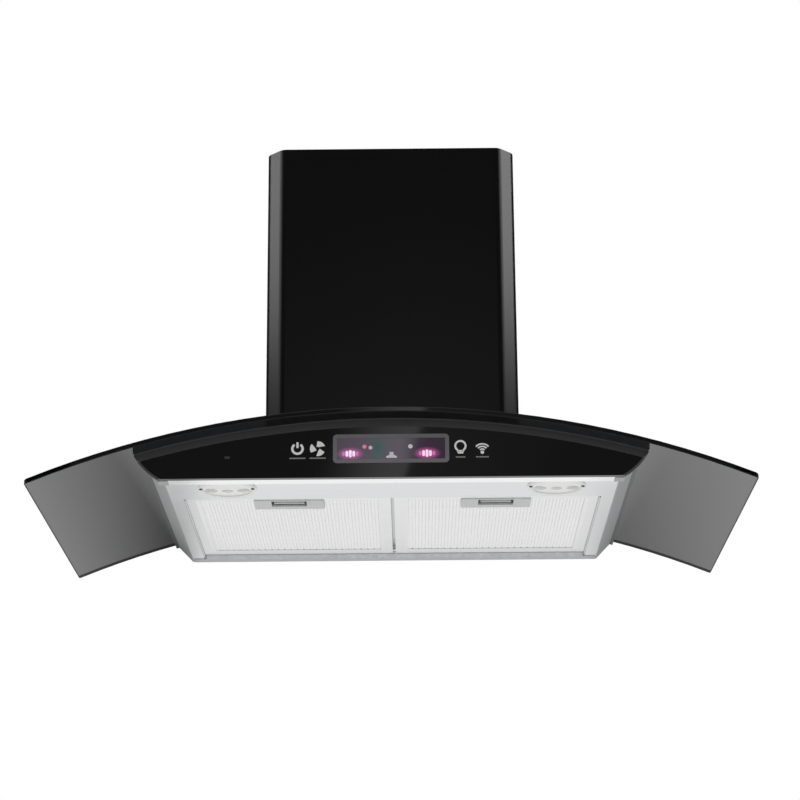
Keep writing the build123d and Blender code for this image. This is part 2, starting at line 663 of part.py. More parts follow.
# Glossy front panel, bevelled along the glass, with pockets for the display behind it
pocket_half = BEZEL_WIDTH / 2 + TOUCH_REACH
pocket_rise = BEZEL_HEIGHT / 2 + BOARD_BORDER
window_width = BEZEL_WIDTH - 2 * BEZEL_BORDER
window_height = BEZEL_HEIGHT - 2 * BEZEL_BORDER
skin_back = FASCIA_FRONT + FASCIA_SKIN
with BuildPart() as fascia_panel:
    outline = panel_outline(FASCIA_HALF, FASCIA_TOP_HALF, FASCIA_RADIUS, FASCIA_BULGE, at_y(FRONT_Y))
    extrude(outline, amount=FASCIA_DEPTH)
    ends = fascia_panel.faces().sort_by(Axis.Y)[0].edges().sort_by(Axis.X)
    chamfer([ends[0], ends[-1]], END_BEVEL)
    with BuildSketch(Plane.YZ):
        with BuildLine():
            Polyline(
                (FASCIA_FRONT, ARCH_Z + FASCIA_RADIUS - BEVEL_HEIGHT),
                (FASCIA_FRONT + BEVEL_DEPTH, ARCH_Z + FASCIA_RADIUS),
                (FASCIA_FRONT + BEVEL_DEPTH, ARCH_Z + GLASS_RADIUS),
                (FASCIA_FRONT - BEVEL_DEPTH, ARCH_Z + GLASS_RADIUS),
                (FASCIA_FRONT - BEVEL_DEPTH, ARCH_Z + FASCIA_RADIUS - BEVEL_HEIGHT),
                close=True,
            )
        make_face()
    revolve(axis=Axis((0, 0, ARCH_Z), (0, 1, 0)), mode=Mode.SUBTRACT)
    with BuildSketch(at_y(FASCIA_FRONT + BEZEL_INLAY)):
        with Locations((0, DISPLAY_Z)):
            RectangleRounded(BEZEL_WIDTH + 2 * FIT, BEZEL_HEIGHT + 2 * FIT, BEZEL_CORNER)
    extrude(amount=2 * BEZEL_INLAY, mode=Mode.SUBTRACT)
    with BuildSketch(at_y(FRONT_Y)):
        with Locations((0, DISPLAY_Z)):
            Rectangle(window_width + 2 * FIT, window_height + 2 * FIT)
    extrude(amount=FASCIA_DEPTH, mode=Mode.SUBTRACT)
    pocket_z = (DISPLAY_Z - pocket_rise, DISPLAY_Z + pocket_rise)
    block((-pocket_half, pocket_half), (skin_back, FRONT_Y), pocket_z, Mode.SUBTRACT)
    with BuildSketch(at_y(FRONT_Y)):
        with Locations((SENSOR_X, RIM_Z + SENSOR_HEIGHT)):
            SlotOverall(SENSOR_LENGTH + 2 * FIT, SENSOR_WIDTH + 2 * FIT)
    extrude(amount=FASCIA_DEPTH, mode=Mode.SUBTRACT)
    for seat in FASCIA_SEATS:
        peg(seat, SCREW_RADIUS + FIT, -SCREW_LENGTH - FIT, 0, Mode.SUBTRACT)
finish(fascia_panel.part, "fascia_panel")

# Frame and tinted window of the display
with BuildPart() as display_bezel:
    with BuildSketch(at_y(FASCIA_FRONT + BEZEL_INLAY)):
        with Locations((0, DISPLAY_Z)):
            RectangleRounded(BEZEL_WIDTH, BEZEL_HEIGHT, BEZEL_CORNER)
            Rectangle(window_width, window_height, mode=Mode.SUBTRACT)
    extrude(amount=BEZEL_INLAY + BEZEL_PROUD)
finish(display_bezel.part, "display_bezel")

with BuildPart() as display_lens:
    lens_half = window_width / 2 - FIT
    lens_rise = window_height / 2 - FIT
    lens_y = (FASCIA_FRONT + LENS_RECESS, skin_back)
    block((-lens_half, lens_half), lens_y, (DISPLAY_Z - lens_rise, DISPLAY_Z + lens_rise))
finish(display_lens.part, "display_lens")

# Display and touch electronics in the panel's pocket
module_half = BEZEL_WIDTH / 2
module_rise = BEZEL_HEIGHT / 2
module_z = (DISPLAY_Z - module_rise, DISPLAY_Z + module_rise)
with BuildPart() as display_module:
    block((-module_half, module_half), (skin_back, skin_back + MODULE_DEPTH), module_z)
finish(display_module.part, "display_module")

with BuildPart() as touch_board:
    board_half = pocket_half - FIT
    board_rise = pocket_rise - FIT
    board_y = (skin_back, skin_back + BOARD_THICKNESS)
    block((-board_half, board_half), board_y, (DISPLAY_Z - board_rise, DISPLAY_Z + board_rise))
    cut_half = module_half + FIT
    cut_z = (DISPLAY_Z - module_rise - FIT, DISPLAY_Z + module_rise + FIT)
    block((-cut_half, cut_half), board_y, cut_z, Mode.SUBTRACT)
finish(touch_board.part, "touch_board")

with BuildPart() as gesture_sensor:
    with BuildSketch(at_y(FRONT_Y)):
        with Locations((SENSOR_X, RIM_Z + SENSOR_HEIGHT)):
            SlotOverall(SENSOR_LENGTH, SENSOR_WIDTH)
    extrude(amount=FASCIA_DEPTH)
finish(gesture_sensor.part, "gesture_sensor")

# Round lamps in the front strip: a can with a flange, a diffuser and a light board
lamp_top = RIM_Z + LAMP_HEIGHT
lamp_bore = LAMP_TUBE_RADIUS - LAMP_WALL
for name, side in SIDES:
    with BuildPart() as lamp_housing:
        disc_z(side * LAMP_X, LAMP_Y, (RIM_Z - LAMP_FLANGE, RIM_Z), LAMP_RADIUS)
        bottom_rim = lamp_housing.edges().sort_by(Axis.Z)[0]
        chamfer(bottom_rim, LAMP_FLANGE / 2)
        disc_z(side * LAMP_X, LAMP_Y, (RIM_Z, lamp_top), LAMP_TUBE_RADIUS)
        hollow = (RIM_Z - LAMP_FLANGE, lamp_top - LAMP_WALL)
        disc_z(side * LAMP_X, LAMP_Y, hollow, lamp_bore, mode=Mode.SUBTRACT)
    finish(lamp_housing.part, f"lamp_housing_{name}")

    with BuildPart() as lamp_lens:
        lens_z = (RIM_Z - LAMP_FLANGE, RIM_Z - LAMP_FLANGE + LAMP_LENS)
        disc_z(side * LAMP_X, LAMP_Y, lens_z, lamp_bore - FIT)
    finish(lamp_lens.part, f"lamp_lens_{name}")

    with BuildPart() as lamp_board:
        board_top = lamp_top - LAMP_WALL
        board_under = board_top - BOARD_THICKNESS
        disc_z(side * LAMP_X, LAMP_Y, (board_under, board_top), lamp_bore - FIT)
        with BuildSketch(Plane.XY.offset(board_under)):
            with Locations((side * LAMP_X, LAMP_Y)):
                with PolarLocations(LED_RING, LED_COUNT):
                    Circle(LED_RADIUS)
        extrude(amount=-LED_HEIGHT)
    finish(lamp_board.part, f"lamp_board_{name}")

# Grease filters: channel frame, mesh pack and a sprung latch at the front
for name, side in SIDES:
    middle = side * FILTER_X
    frame_x = (middle - FILTER_WIDTH / 2, middle + FILTER_WIDTH / 2)
    frame_y = (FILTER_FRONT, FILTER_BACK)
    latch_x = (middle - LATCH_WIDTH / 2, middle + LATCH_WIDTH / 2)
    groove = (FILTER_Z + FRAME_WALL, FILTER_TOP - FRAME_WALL)

    with BuildPart() as filter_frame:
        block(frame_x, frame_y, (FILTER_Z, FILTER_TOP))
        inner_x = (frame_x[0] + FRAME_BAR, frame_x[1] - FRAME_BAR)
        inner_y = (FILTER_FRONT + FRAME_BAR, FILTER_BACK - FRAME_BAR)
        block(inner_x, inner_y, (FILTER_Z, FILTER_TOP), Mode.SUBTRACT)
        groove_x = (frame_x[0] + FRAME_WALL, frame_x[1] - FRAME_WALL)
        groove_y = (FILTER_FRONT + FRAME_WALL, FILTER_BACK - FRAME_WALL)
        block(groove_x, groove_y, groove, Mode.SUBTRACT)
        tongue_slot = (middle - TONGUE_WIDTH / 2 - GAP, middle + TONGUE_WIDTH / 2 + GAP)
        slot_z = (SLIDER_Z - GAP, SLIDER_TOP + GAP)
        block(tongue_slot, (FILTER_FRONT, FILTER_FRONT + FRAME_WALL), slot_z, Mode.SUBTRACT)
        tab_z = HEM_Z + HEM_RADIUS + GAP
        for edge, inward in ((frame_x[0], 1), (frame_x[1], -1)):
            tab_x = (edge + inward * TAB_INSET, edge + inward * (TAB_INSET + TAB_WIDTH))
            block(tab_x, (FILTER_BACK, FILTER_BACK + TAB_REACH), (tab_z, tab_z + TAB_THICKNESS))
    finish(filter_frame.part, f"filter_frame_{name}")

    with BuildPart() as filter_mesh:
        mesh_x = (groove_x[0] + FIT, groove_x[1] - FIT)
        mesh_y = (groove_y[0] + FIT, groove_y[1] - FIT)
        mesh_z = (groove[0] + FIT, groove[1] - FIT)
        open_width = inner_x[1] - inner_x[0]
        open_depth = inner_y[1] - inner_y[0]
        column = open_width / MESH_COLUMNS
        row = open_depth / MESH_ROWS
        with BuildSketch(Plane.XY.offset(mesh_z[0])):
            with Locations(((mesh_x[0] + mesh_x[1]) / 2, (mesh_y[0] + mesh_y[1]) / 2)):
                Rectangle(mesh_x[1] - mesh_x[0], mesh_y[1] - mesh_y[0])
            with Locations((middle, (inner_y[0] + inner_y[1]) / 2)):
                with GridLocations(column, row, MESH_COLUMNS, MESH_ROWS):
                    Rectangle(column - MESH_STRAND, row - MESH_STRAND, mode=Mode.SUBTRACT)
        extrude(amount=mesh_z[1] - mesh_z[0])
        cut_x = (latch_x[0] - FIT, latch_x[1] + FIT)
        block(cut_x, (FILTER_FRONT, LATCH_BACK + FIT), mesh_z, Mode.SUBTRACT)
    finish(filter_mesh.part, f"filter_mesh_{name}")

    with BuildPart() as latch_housing:
        block(latch_x, (LATCH_FRONT, LATCH_BACK), (FILTER_Z, FILTER_TOP))
        hollow_x = (latch_x[0] + LATCH_WALL, latch_x[1] - LATCH_WALL)
        hollow_y = (LATCH_FRONT + LATCH_WALL, LATCH_BACK - LATCH_WALL)
        hollow_z = (FILTER_Z + LATCH_BEZEL, SLIDER_TOP + GAP)
        block(hollow_x, hollow_y, hollow_z, Mode.SUBTRACT)
        finger_x = (middle - FINGER_WIDTH / 2, middle + FINGER_WIDTH / 2)
        finger_y = (SLIDER_FRONT, SLIDER_FRONT + FINGER_DEPTH)
        block(finger_x, finger_y, (FILTER_Z, hollow_z[1]), Mode.SUBTRACT)
        tongue_door = (LATCH_FRONT, LATCH_FRONT + LATCH_WALL)
        block(tongue_slot, tongue_door, (SLIDER_Z - GAP, SLIDER_TOP + GAP), Mode.SUBTRACT)
        bezel_x = (latch_x[0] - LATCH_WALL, latch_x[1] + LATCH_WALL)
        bezel_y = (LATCH_FRONT - LATCH_WALL, LATCH_BACK + LATCH_WALL)
        bezel_z = (FILTER_Z - LATCH_BEZEL, FILTER_Z)
        block(bezel_x, bezel_y, bezel_z)
        block(finger_x, finger_y, bezel_z, Mode.SUBTRACT)
    finish(latch_housing.part, f"latch_housing_{name}")

    with BuildPart() as latch_slider:
        slider_x = (middle - SLIDER_WIDTH / 2, middle + SLIDER_WIDTH / 2)
        tongue_x = (middle - TONGUE_WIDTH / 2, middle + TONGUE_WIDTH / 2)
        slider_z = (SLIDER_Z, SLIDER_TOP)
        block(slider_x, (SLIDER_FRONT, SLIDER_BACK), slider_z)
        block(tongue_x, (TONGUE_TIP, SLIDER_FRONT), slider_z)
        block(slider_x, (GRIP_BACK - GRIP_THICKNESS, GRIP_BACK), (FILTER_Z, SLIDER_Z))
    finish(latch_slider.part, f"latch_slider_{name}")

    with BuildPart() as latch_spring:
        spring_room = LATCH_BACK - LATCH_WALL - SLIDER_BACK
        spring_z = SLIDER_TOP - SPRING_RADIUS + GAP - SPRING_WIRE
        spring_start = SLIDER_BACK + 2 * SPRING_WIRE
        spring_length = spring_room - 4 * SPRING_WIRE
        with BuildLine() as spring_path:
            Helix(
                pitch=spring_length / SPRING_TURNS,
                height=spring_length,
                radius=SPRING_RADIUS,
                center=(middle, spring_start, spring_z),
                direction=(0, 1, 0),
            )
        with BuildSketch(Plane(origin=spring_path.line @ 0, z_dir=spring_path.line % 0)):
            Circle(SPRING_WIRE)
        sweep(path=spring_path.line, is_frenet=True)
    finish(latch_spring.part, f"latch_spring_{name}")

# Wall bracket: a plate with two screw holes and two hooks
hook_front = BOX_BACK - SHEET - HOOK_ROOM - STRAP
with BuildPart() as wall_bracket:
    bracket_z = (-BRACKET_HEIGHT / 2, BRACKET_HEIGHT / 2)
    block((-BRACKET_WIDTH / 2, BRACKET_WIDTH / 2), (-STRAP, 0), bracket_z)
    with BuildSketch(at_y(0)):
        with GridLocations(WALL_SCREW_SPACING, 1, 2, 1):
            Circle(WALL_SCREW_HOLE / 2)
    extrude(amount=STRAP, mode=Mode.SUBTRACT)
    for side in (-1, 1):
        hook_x = (side * HOOK_SPACING / 2 - HOOK_WIDTH / 2, side * HOOK_SPACING / 2 + HOOK_WIDTH / 2)
        block(hook_x, (hook_front, -STRAP), (HOOK_LEVEL, HOOK_LEVEL + STRAP))
        block(hook_x, (hook_front, hook_front + STRAP), (HOOK_LEVEL, HOOK_LEVEL + HOOK_HEIGHT))
finish(wall_bracket.part, "wall_bracket")

# Blower box: sheet cover that stands on the deck and hangs on the bracket's hooks
with BuildPart() as air_box:
    box_x = (-BOX_HALF, BOX_HALF)
    block(box_x, (BOX_FRONT, BOX_BACK), (RIM_Z, BOX_TOP))
    inside_x = (-BOX_HALF + SHEET, BOX_HALF - SHEET)
    block(inside_x, (BOX_FRONT + SHEET, BOX_BACK - SHEET), (RIM_Z, BOX_ROOF), Mode.SUBTRACT)
    cut_below_arch(DECK_RADIUS + FIT)
    for side in (-1, 1):
        flange_plane = arch_plane(side * BOX_SEAT_X, BOX_MID, DECK_RADIUS + FIT)
        with BuildSketch(flange_plane) as box_flange:
            Rectangle(2 * BOX_HALF_DEPTH, BOX_FLANGE + 2 * SHEET)
        extrude(box_flange.sketch, amount=SHEET)
    block(inside_x, (BOX_FRONT + SHEET, BOX_BACK - SHEET), (RIM_Z, BOX_ROOF), Mode.SUBTRACT)
    outlet_y = (BOX_MID - SCROLL_HALF + SCROLL_WALL, BOX_MID + SCROLL_HALF - SCROLL_WALL)
    block((TONGUE_X, OUTLET_X), outlet_y, (BOX_ROOF, BOX_TOP), Mode.SUBTRACT)
    for side in (-1, 1):
        slot_half = HOOK_WIDTH / 2 + SLOT_SIDE_ROOM
        slot_x = (side * HOOK_SPACING / 2 - slot_half, side * HOOK_SPACING / 2 + slot_half)
        slot_z = (HOOK_LEVEL - HOOK_HEIGHT - SLOT_SIDE_ROOM, HOOK_LEVEL + STRAP)
        block(slot_x, (BOX_BACK - SHEET, BOX_BACK), slot_z, Mode.SUBTRACT)
    screw_holes(BOX_SEATS, 2 * SHEET)
    screw_holes(COLLAR_SEATS, SCREW_LENGTH)
finish(air_box.part, "air_box")

# Scroll of the blower, in two halves that meet at mid width
scroll_halves = (
    ("scroll_front", (BOX_MID - SCROLL_HALF, BOX_MID), (BOX_MID - SCROLL_HALF + SCROLL_WALL, BOX_MID)),
    ("scroll_rear", (BOX_MID, SCROLL_BACK), (BOX_MID, SCROLL_BACK - SCROLL_WALL)),
)
for label, whole_y, hollow_y in scroll_halves:
    with BuildPart() as scroll_half:
        extrude(volute(whole_y, SCROLL_WALL, 0), amount=span(*whole_y)[1])
        extrude(volute(hollow_y, 0, SCROLL_WALL), amount=span(*hollow_y)[1], mode=Mode.SUBTRACT)
        blower_ring(whole_y, INLET_RADIUS, mode=Mode.SUBTRACT)
        if label == "scroll_rear":
            screw_holes(SPIDER_SEATS, SCREW_LENGTH)
    finish(scroll_half.part, label)

# Impeller with forward leaning blades on both sides of a middle plate
with BuildPart() as impeller:
    impeller_y = (BOX_MID - IMPELLER_WIDTH / 2, BOX_MID + IMPELLER_WIDTH / 2)
    blade_middle = IMPELLER_RADIUS - BLADE_CHORD / 2
    with BuildSketch(at_y(impeller_y[1])):
        with Locations((SCROLL_X, SCROLL_Z)):
            with PolarLocations(blade_middle, BLADE_COUNT):
                Rectangle(BLADE_CHORD, BLADE_THICKNESS, rotation=BLADE_ANGLE)
    extrude(amount=IMPELLER_WIDTH)
    ring_bore = IMPELLER_RADIUS - BLADE_CHORD
    blower_ring((impeller_y[0], impeller_y[0] + IMPELLER_PLATE), IMPELLER_RADIUS, ring_bore)
    blower_ring((impeller_y[1] - IMPELLER_PLATE, impeller_y[1]), IMPELLER_RADIUS, ring_bore)
    blower_ring((BOX_MID - IMPELLER_PLATE / 2, BOX_MID + IMPELLER_PLATE / 2), IMPELLER_RADIUS)
    hub_y = (BOX_MID - HUB_LENGTH / 2, BOX_MID + HUB_LENGTH / 2)
    blower_ring(hub_y, HUB_RADIUS)
    blower_ring(hub_y, SHAFT_RADIUS + RUN, mode=Mode.SUBTRACT)
finish(impeller.part, "impeller")

# Motor behind the scroll, with its shaft through two bearings
front_bearing = (MOTOR_FRONT, MOTOR_FRONT + BEARING_WIDTH)
back_bearing = (MOTOR_BACK - BEARING_WIDTH, MOTOR_BACK)
motor_bore = MOTOR_RADIUS - MOTOR_WALL
motor_middle = (MOTOR_FRONT + MOTOR_BACK) / 2
stator_y = (motor_middle - STATOR_LENGTH / 2, motor_middle + STATOR_LENGTH / 2)
with BuildPart() as motor_shaft:
    blower_ring((hub_y[0], MOTOR_BACK), SHAFT_RADIUS)
finish(motor_shaft.part, "motor_shaft")

with BuildPart() as motor_rotor:
    blower_ring(stator_y, STATOR_BORE - ROTOR_AIR_GAP, SHAFT_RADIUS + RUN)
finish(motor_rotor.part, "motor_rotor")

with BuildPart() as motor_bearings:
    for place in (front_bearing, back_bearing):
        blower_ring(place, BEARING_RADIUS, SHAFT_RADIUS + RUN)
finish(motor_bearings.part, "motor_bearings")

with BuildPart() as motor_can:
    blower_ring((MOTOR_FRONT, MOTOR_BACK), MOTOR_RADIUS)
    blower_ring((MOTOR_FRONT + MOTOR_WALL, MOTOR_BACK), motor_bore, mode=Mode.SUBTRACT)
    blower_ring(front_bearing, BEARING_RADIUS + BEARING_WALL)
    blower_ring(front_bearing, BEARING_RADIUS + RUN, mode=Mode.SUBTRACT)
finish(motor_can.part, "motor_can")

with BuildPart() as motor_cap:
    blower_ring((MOTOR_BACK, MOTOR_BACK + MOTOR_WALL), MOTOR_RADIUS)
    blower_ring(back_bearing, BEARING_RADIUS + BEARING_WALL, BEARING_RADIUS + RUN)
finish(motor_cap.part, "motor_cap")

with BuildPart() as motor_stator:
    blower_ring(stator_y, motor_bore - RUN, STATOR_BORE)
finish(motor_stator.part, "motor_stator")

# Spider that carries the motor on the scroll's rear wall
with BuildPart() as motor_bracket:
    spider_y = (SCROLL_BACK, MOTOR_FRONT)
    blower_ring(spider_y, MOTOR_RADIUS)
    with BuildSketch(at_y(MOTOR_FRONT)):
        with Locations((SCROLL_X, SCROLL_Z)):
            with PolarLocations(SPIDER_REACH / 2, SPIDER_ARMS, start_angle=SPIDER_TURNS[0]):
                Rectangle(SPIDER_REACH, SPIDER_ARM_WIDTH)
    extrude(amount=STRAP)
    blower_ring(spider_y, SHAFT_RADIUS + GAP * 2, mode=Mode.SUBTRACT)
    screw_holes(SPIDER_SEATS, SCREW_LENGTH)
finish(motor_bracket.part, "motor_bracket")

# Outlet collar on the blower box, with a seat ring for the flaps
flap_seat_top = FLAP_Z - FLAP_THICKNESS / 2 - GAP
with BuildPart() as duct_collar:
    base_half = COLLAR_RADIUS + COLLAR_FLANGE
    base_x = (COLLAR_X - base_half, COLLAR_X + base_half)
    base_y = (COLLAR_Y - base_half, COLLAR_Y + base_half)
    base_top = BOX_TOP + COLLAR_BASE
    block(base_x, base_y, (BOX_TOP, base_top))
    disc_z(COLLAR_X, COLLAR_Y, (BOX_TOP, base_top + COLLAR_LENGTH), COLLAR_RADIUS)
    bore_z = (BOX_TOP, base_top + COLLAR_LENGTH)
    disc_z(COLLAR_X, COLLAR_Y, bore_z, COLLAR_BORE, mode=Mode.SUBTRACT)
    seat_z = (flap_seat_top - FLAP_SEAT_HEIGHT, flap_seat_top)
    disc_z(COLLAR_X, COLLAR_Y, seat_z, COLLAR_BORE + COLLAR_WALL / 2, COLLAR_BORE - FLAP_SEAT)
    pin_y = (COLLAR_Y - COLLAR_RADIUS, COLLAR_Y + COLLAR_RADIUS)
    disc_y(COLLAR_X, FLAP_Z, pin_y, PIN_RADIUS + RUN, mode=Mode.SUBTRACT)
    screw_holes(COLLAR_SEATS, SCREW_LENGTH)
finish(duct_collar.part, "duct_collar")

with BuildPart() as damper_pin:
    pin_half = COLLAR_RADIUS - COLLAR_WALL / 2
    disc_y(COLLAR_X, FLAP_Z, (COLLAR_Y - pin_half, COLLAR_Y + pin_half), PIN_RADIUS)
finish(damper_pin.part, "damper_pin")

# Two half-round flaps that share the pin, with knuckles taken in turn
knuckle_half = COLLAR_BORE - FLAP_SEAT - KNUCKLE_END_ROOM
knuckle_pitch = 2 * knuckle_half / KNUCKLE_COUNT
flap_z = (FLAP_Z - FLAP_THICKNESS / 2, FLAP_Z + FLAP_THICKNESS / 2)
flap_radius = COLLAR_BORE - FLAP_EDGE_GAP
for name, side in SIDES:
    with BuildPart() as damper_flap:
        disc_z(COLLAR_X, COLLAR_Y, flap_z, flap_radius)
        clear_x = COLLAR_X + side * (KNUCKLE_RADIUS + KNUCKLE_GAP / 2)
        other_x = COLLAR_X - side * COLLAR_RADIUS
        whole_y = (COLLAR_Y - COLLAR_RADIUS, COLLAR_Y + COLLAR_RADIUS)
        block((clear_x, other_x), whole_y, flap_z, Mode.SUBTRACT)
        for k in range(0 if side < 0 else 1, KNUCKLE_COUNT, 2):
            knuckle_start = COLLAR_Y - knuckle_half + knuckle_pitch * k + KNUCKLE_GAP / 2
            knuckle_y = (knuckle_start, knuckle_start + knuckle_pitch - KNUCKLE_GAP)
            disc_y(COLLAR_X, FLAP_Z, knuckle_y, KNUCKLE_RADIUS)
            block((COLLAR_X, clear_x + side), knuckle_y, flap_z)
        disc_y(COLLAR_X, FLAP_Z, whole_y, PIN_RADIUS + RUN, mode=Mode.SUBTRACT)
    finish(damper_flap.part, f"damper_flap_{name}")

# Control box with its board, the run capacitor and the mains gland
capacitor_x = -BOX_HALF + CONTROL_INSET + CAPACITOR_RADIUS
capacitor_y = BOX_FRONT + CONTROL_INSET + CAPACITOR_RADIUS
control_x = (-BOX_HALF + CONTROL_INSET, COLLAR_X - base_half - CONTROL_INSET)
control_y = (capacitor_y + CAPACITOR_RADIUS + CONTROL_INSET, BOX_BACK - CONTROL_INSET - GLAND_LENGTH)
control_top = BOX_TOP + CONTROL_HEIGHT
control_inner_x = (control_x[0] + CONTROL_WALL, control_x[1] - CONTROL_WALL)
control_inner_y = (control_y[0] + CONTROL_WALL, control_y[1] - CONTROL_WALL)
control_floor = BOX_TOP + CONTROL_WALL
board_z = control_floor + CONTROL_RAIL
gland_x = (control_x[0] + control_x[1]) / 2
gland_z = (BOX_TOP + control_top) / 2
with BuildPart() as control_box:
    block(control_x, control_y, (BOX_TOP, control_top))
    block(control_inner_x, control_inner_y, (control_floor, control_top), Mode.SUBTRACT)
    for edge, inward in ((control_inner_x[0], 1), (control_inner_x[1], -1)):
        block((edge, edge + inward * CONTROL_RAIL), control_inner_y, (control_floor, board_z))
    gland_hole = (control_y[1] - CONTROL_WALL, control_y[1])
    disc_y(gland_x, gland_z, gland_hole, GLAND_RADIUS + FIT, mode=Mode.SUBTRACT)
finish(control_box.part, "control_box")

with BuildPart() as control_box_lid:
    block(control_x, control_y, (control_top, control_top + CONTROL_WALL))
finish(control_box_lid.part, "control_box_lid")

with BuildPart() as power_board:
    board_x = (control_inner_x[0] + FIT, control_inner_x[1] - FIT)
    board_y = (control_inner_y[0] + FIT, control_inner_y[1] - FIT)
    block(board_x, board_y, (board_z, board_z + BOARD_THICKNESS))
finish(power_board.part, "power_board")

with BuildPart() as mains_gland:
    gland_y = (control_y[1] - CONTROL_WALL, control_y[1] + GLAND_LENGTH - CONTROL_WALL)
    disc_y(gland_x, gland_z, gland_y, GLAND_RADIUS)
    disc_y(gland_x, gland_z, (control_y[1], control_y[1] + GLAND_FLANGE_DEPTH), GLAND_FLANGE)
    disc_y(gland_x, gland_z, gland_y, GLAND_BORE, mode=Mode.SUBTRACT)
finish(mains_gland.part, "mains_gland")

with BuildPart() as run_capacitor:
    disc_z(capacitor_x, capacitor_y, (BOX_TOP, BOX_TOP + CAPACITOR_HEIGHT), CAPACITOR_RADIUS)
finish(run_capacitor.part, "run_capacitor")

# Chimney cover: a folded sheet with two bends at each front corner, cut to stand on the glass
with BuildPart() as chimney_cover:
    with BuildSketch(Plane.XY.offset(RIM_Z)) as cover_plan:
        with BuildLine():
            Polyline(
                (-CHIMNEY_HALF, -CHIMNEY_WALL_GAP),
                (-CHIMNEY_HALF, CHIMNEY_FRONT + CHIMNEY_CHAMFER),
                (-CHIMNEY_HALF + CHIMNEY_CHAMFER, CHIMNEY_FRONT),
                (CHIMNEY_HALF - CHIMNEY_CHAMFER, CHIMNEY_FRONT),
                (CHIMNEY_HALF, CHIMNEY_FRONT + CHIMNEY_CHAMFER),
                (CHIMNEY_HALF, -CHIMNEY_WALL_GAP),
                close=True,
            )
        make_face()
        bends = cover_plan.vertices().sort_by(Axis.Y)[:4]
        fillet(bends, CHIMNEY_BEND)
        offset(amount=-SHEET, mode=Mode.SUBTRACT)
        with Locations((0, -CHIMNEY_WALL_GAP)):
            Rectangle(2 * CHIMNEY_INSIDE, 4 * SHEET, mode=Mode.SUBTRACT)
    extrude(amount=CHIMNEY_RISE)
    cut_below_arch(GLASS_RADIUS + GAP)
    screw_holes(CHIMNEY_SEATS, 2 * SHEET)
finish(chimney_cover.part, "chimney_cover")

# Upper wall bracket of the chimney cover
with BuildPart() as chimney_bracket:
    bracket_half = CHIMNEY_INSIDE - FIT
    low = BRACKET_TAB_Z - CHIMNEY_BRACKET_HEIGHT / 2
    high = BRACKET_TAB_Z + CHIMNEY_BRACKET_HEIGHT / 2
    block((-bracket_half, bracket_half), (-STRAP, 0), (low, high))
    for side in (-1, 1):
        tab_x = (side * bracket_half, side * (bracket_half - STRAP))
        block(tab_x, (-CHIMNEY_BRACKET_TAB, 0), (low, high))
    with BuildSketch(at_y(0)):
        with Locations((0, BRACKET_TAB_Z)):
            with GridLocations(CHIMNEY_SCREW_SPACING, 1, 2, 1):
                Circle(WALL_SCREW_HOLE / 2)
    extrude(amount=STRAP, mode=Mode.SUBTRACT)
    screw_holes(CHIMNEY_SEATS, SCREW_LENGTH)
finish(chimney_bracket.part, "chimney_bracket")

# Stays between the blower box and the foot of the chimney cover
with BuildPart() as chimney_stays:
    for side in (-1, 1):
        stay_y = (BOX_MID - STAY_WIDTH / 2, BOX_MID + STAY_WIDTH / 2)
        stay_end = CHIMNEY_INSIDE - FIT
        upright = (STAY_Z, STAY_Z + STAY_HEIGHT)
        block((side * BOX_HALF, side * stay_end), stay_y, (STAY_Z, STAY_Z + STRAP))
        block((side * BOX_HALF, side * (BOX_HALF + STRAP)), stay_y, upright)
        block((side * (stay_end - STRAP), side * stay_end), stay_y, upright)
    screw_holes(CHIMNEY_SEATS, SCREW_LENGTH)
finish(chimney_stays.part, "chimney_stays")

# Small pan-head screws of the panels, all alike
with BuildPart() as panel_screws:
    for seat in BOX_SEATS + COLLAR_SEATS + FASCIA_SEATS + CHIMNEY_SEATS + SPIDER_SEATS:
        screw(seat)
finish(panel_screws.part, "panel_screws")
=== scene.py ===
from math import acos, cos, degrees, pi, radians, sin

import bmesh
import bpy
from mathutils import Matrix, Vector


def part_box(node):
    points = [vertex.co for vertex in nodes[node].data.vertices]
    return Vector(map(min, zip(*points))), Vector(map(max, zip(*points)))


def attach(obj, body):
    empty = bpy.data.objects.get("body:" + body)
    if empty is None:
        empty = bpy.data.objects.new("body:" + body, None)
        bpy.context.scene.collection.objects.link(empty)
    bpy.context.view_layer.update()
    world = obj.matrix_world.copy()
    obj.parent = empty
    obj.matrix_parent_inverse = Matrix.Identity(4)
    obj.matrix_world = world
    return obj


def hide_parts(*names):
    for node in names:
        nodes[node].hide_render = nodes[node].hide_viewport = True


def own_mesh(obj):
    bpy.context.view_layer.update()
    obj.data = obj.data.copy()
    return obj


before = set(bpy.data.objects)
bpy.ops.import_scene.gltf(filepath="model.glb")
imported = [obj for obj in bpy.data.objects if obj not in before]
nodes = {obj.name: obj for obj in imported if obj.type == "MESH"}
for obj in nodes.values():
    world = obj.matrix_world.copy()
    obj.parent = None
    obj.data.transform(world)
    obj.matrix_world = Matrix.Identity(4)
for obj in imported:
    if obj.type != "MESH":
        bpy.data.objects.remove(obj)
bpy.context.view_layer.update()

# Wall bracket, chimney bracket and stays: strips of steel, punched, folded and dipped in hot zinc.
# The blower box, the motor's case and the body's back sheet are of the same galvanised steel.
# The zinc freezes in flat crystals under a centimetre wide, which take the light unevenly.
MM = 0.001
ZINC_CRYSTAL = 7 * MM
MIX_FIRST, MIX_SECOND = 6, 7  # sockets of a Mix node that blends two colours


def linear(colour):
    """Linear RGBA of an sRGB hex colour, as shader sockets take it."""
    parts = [int(colour[i : i + 2], 16) / 255 for i in (1, 3, 5)]
    return [p / 12.92 if p <= 0.04045 else ((p + 0.055) / 1.055) ** 2.4 for p in parts] + [1.0]


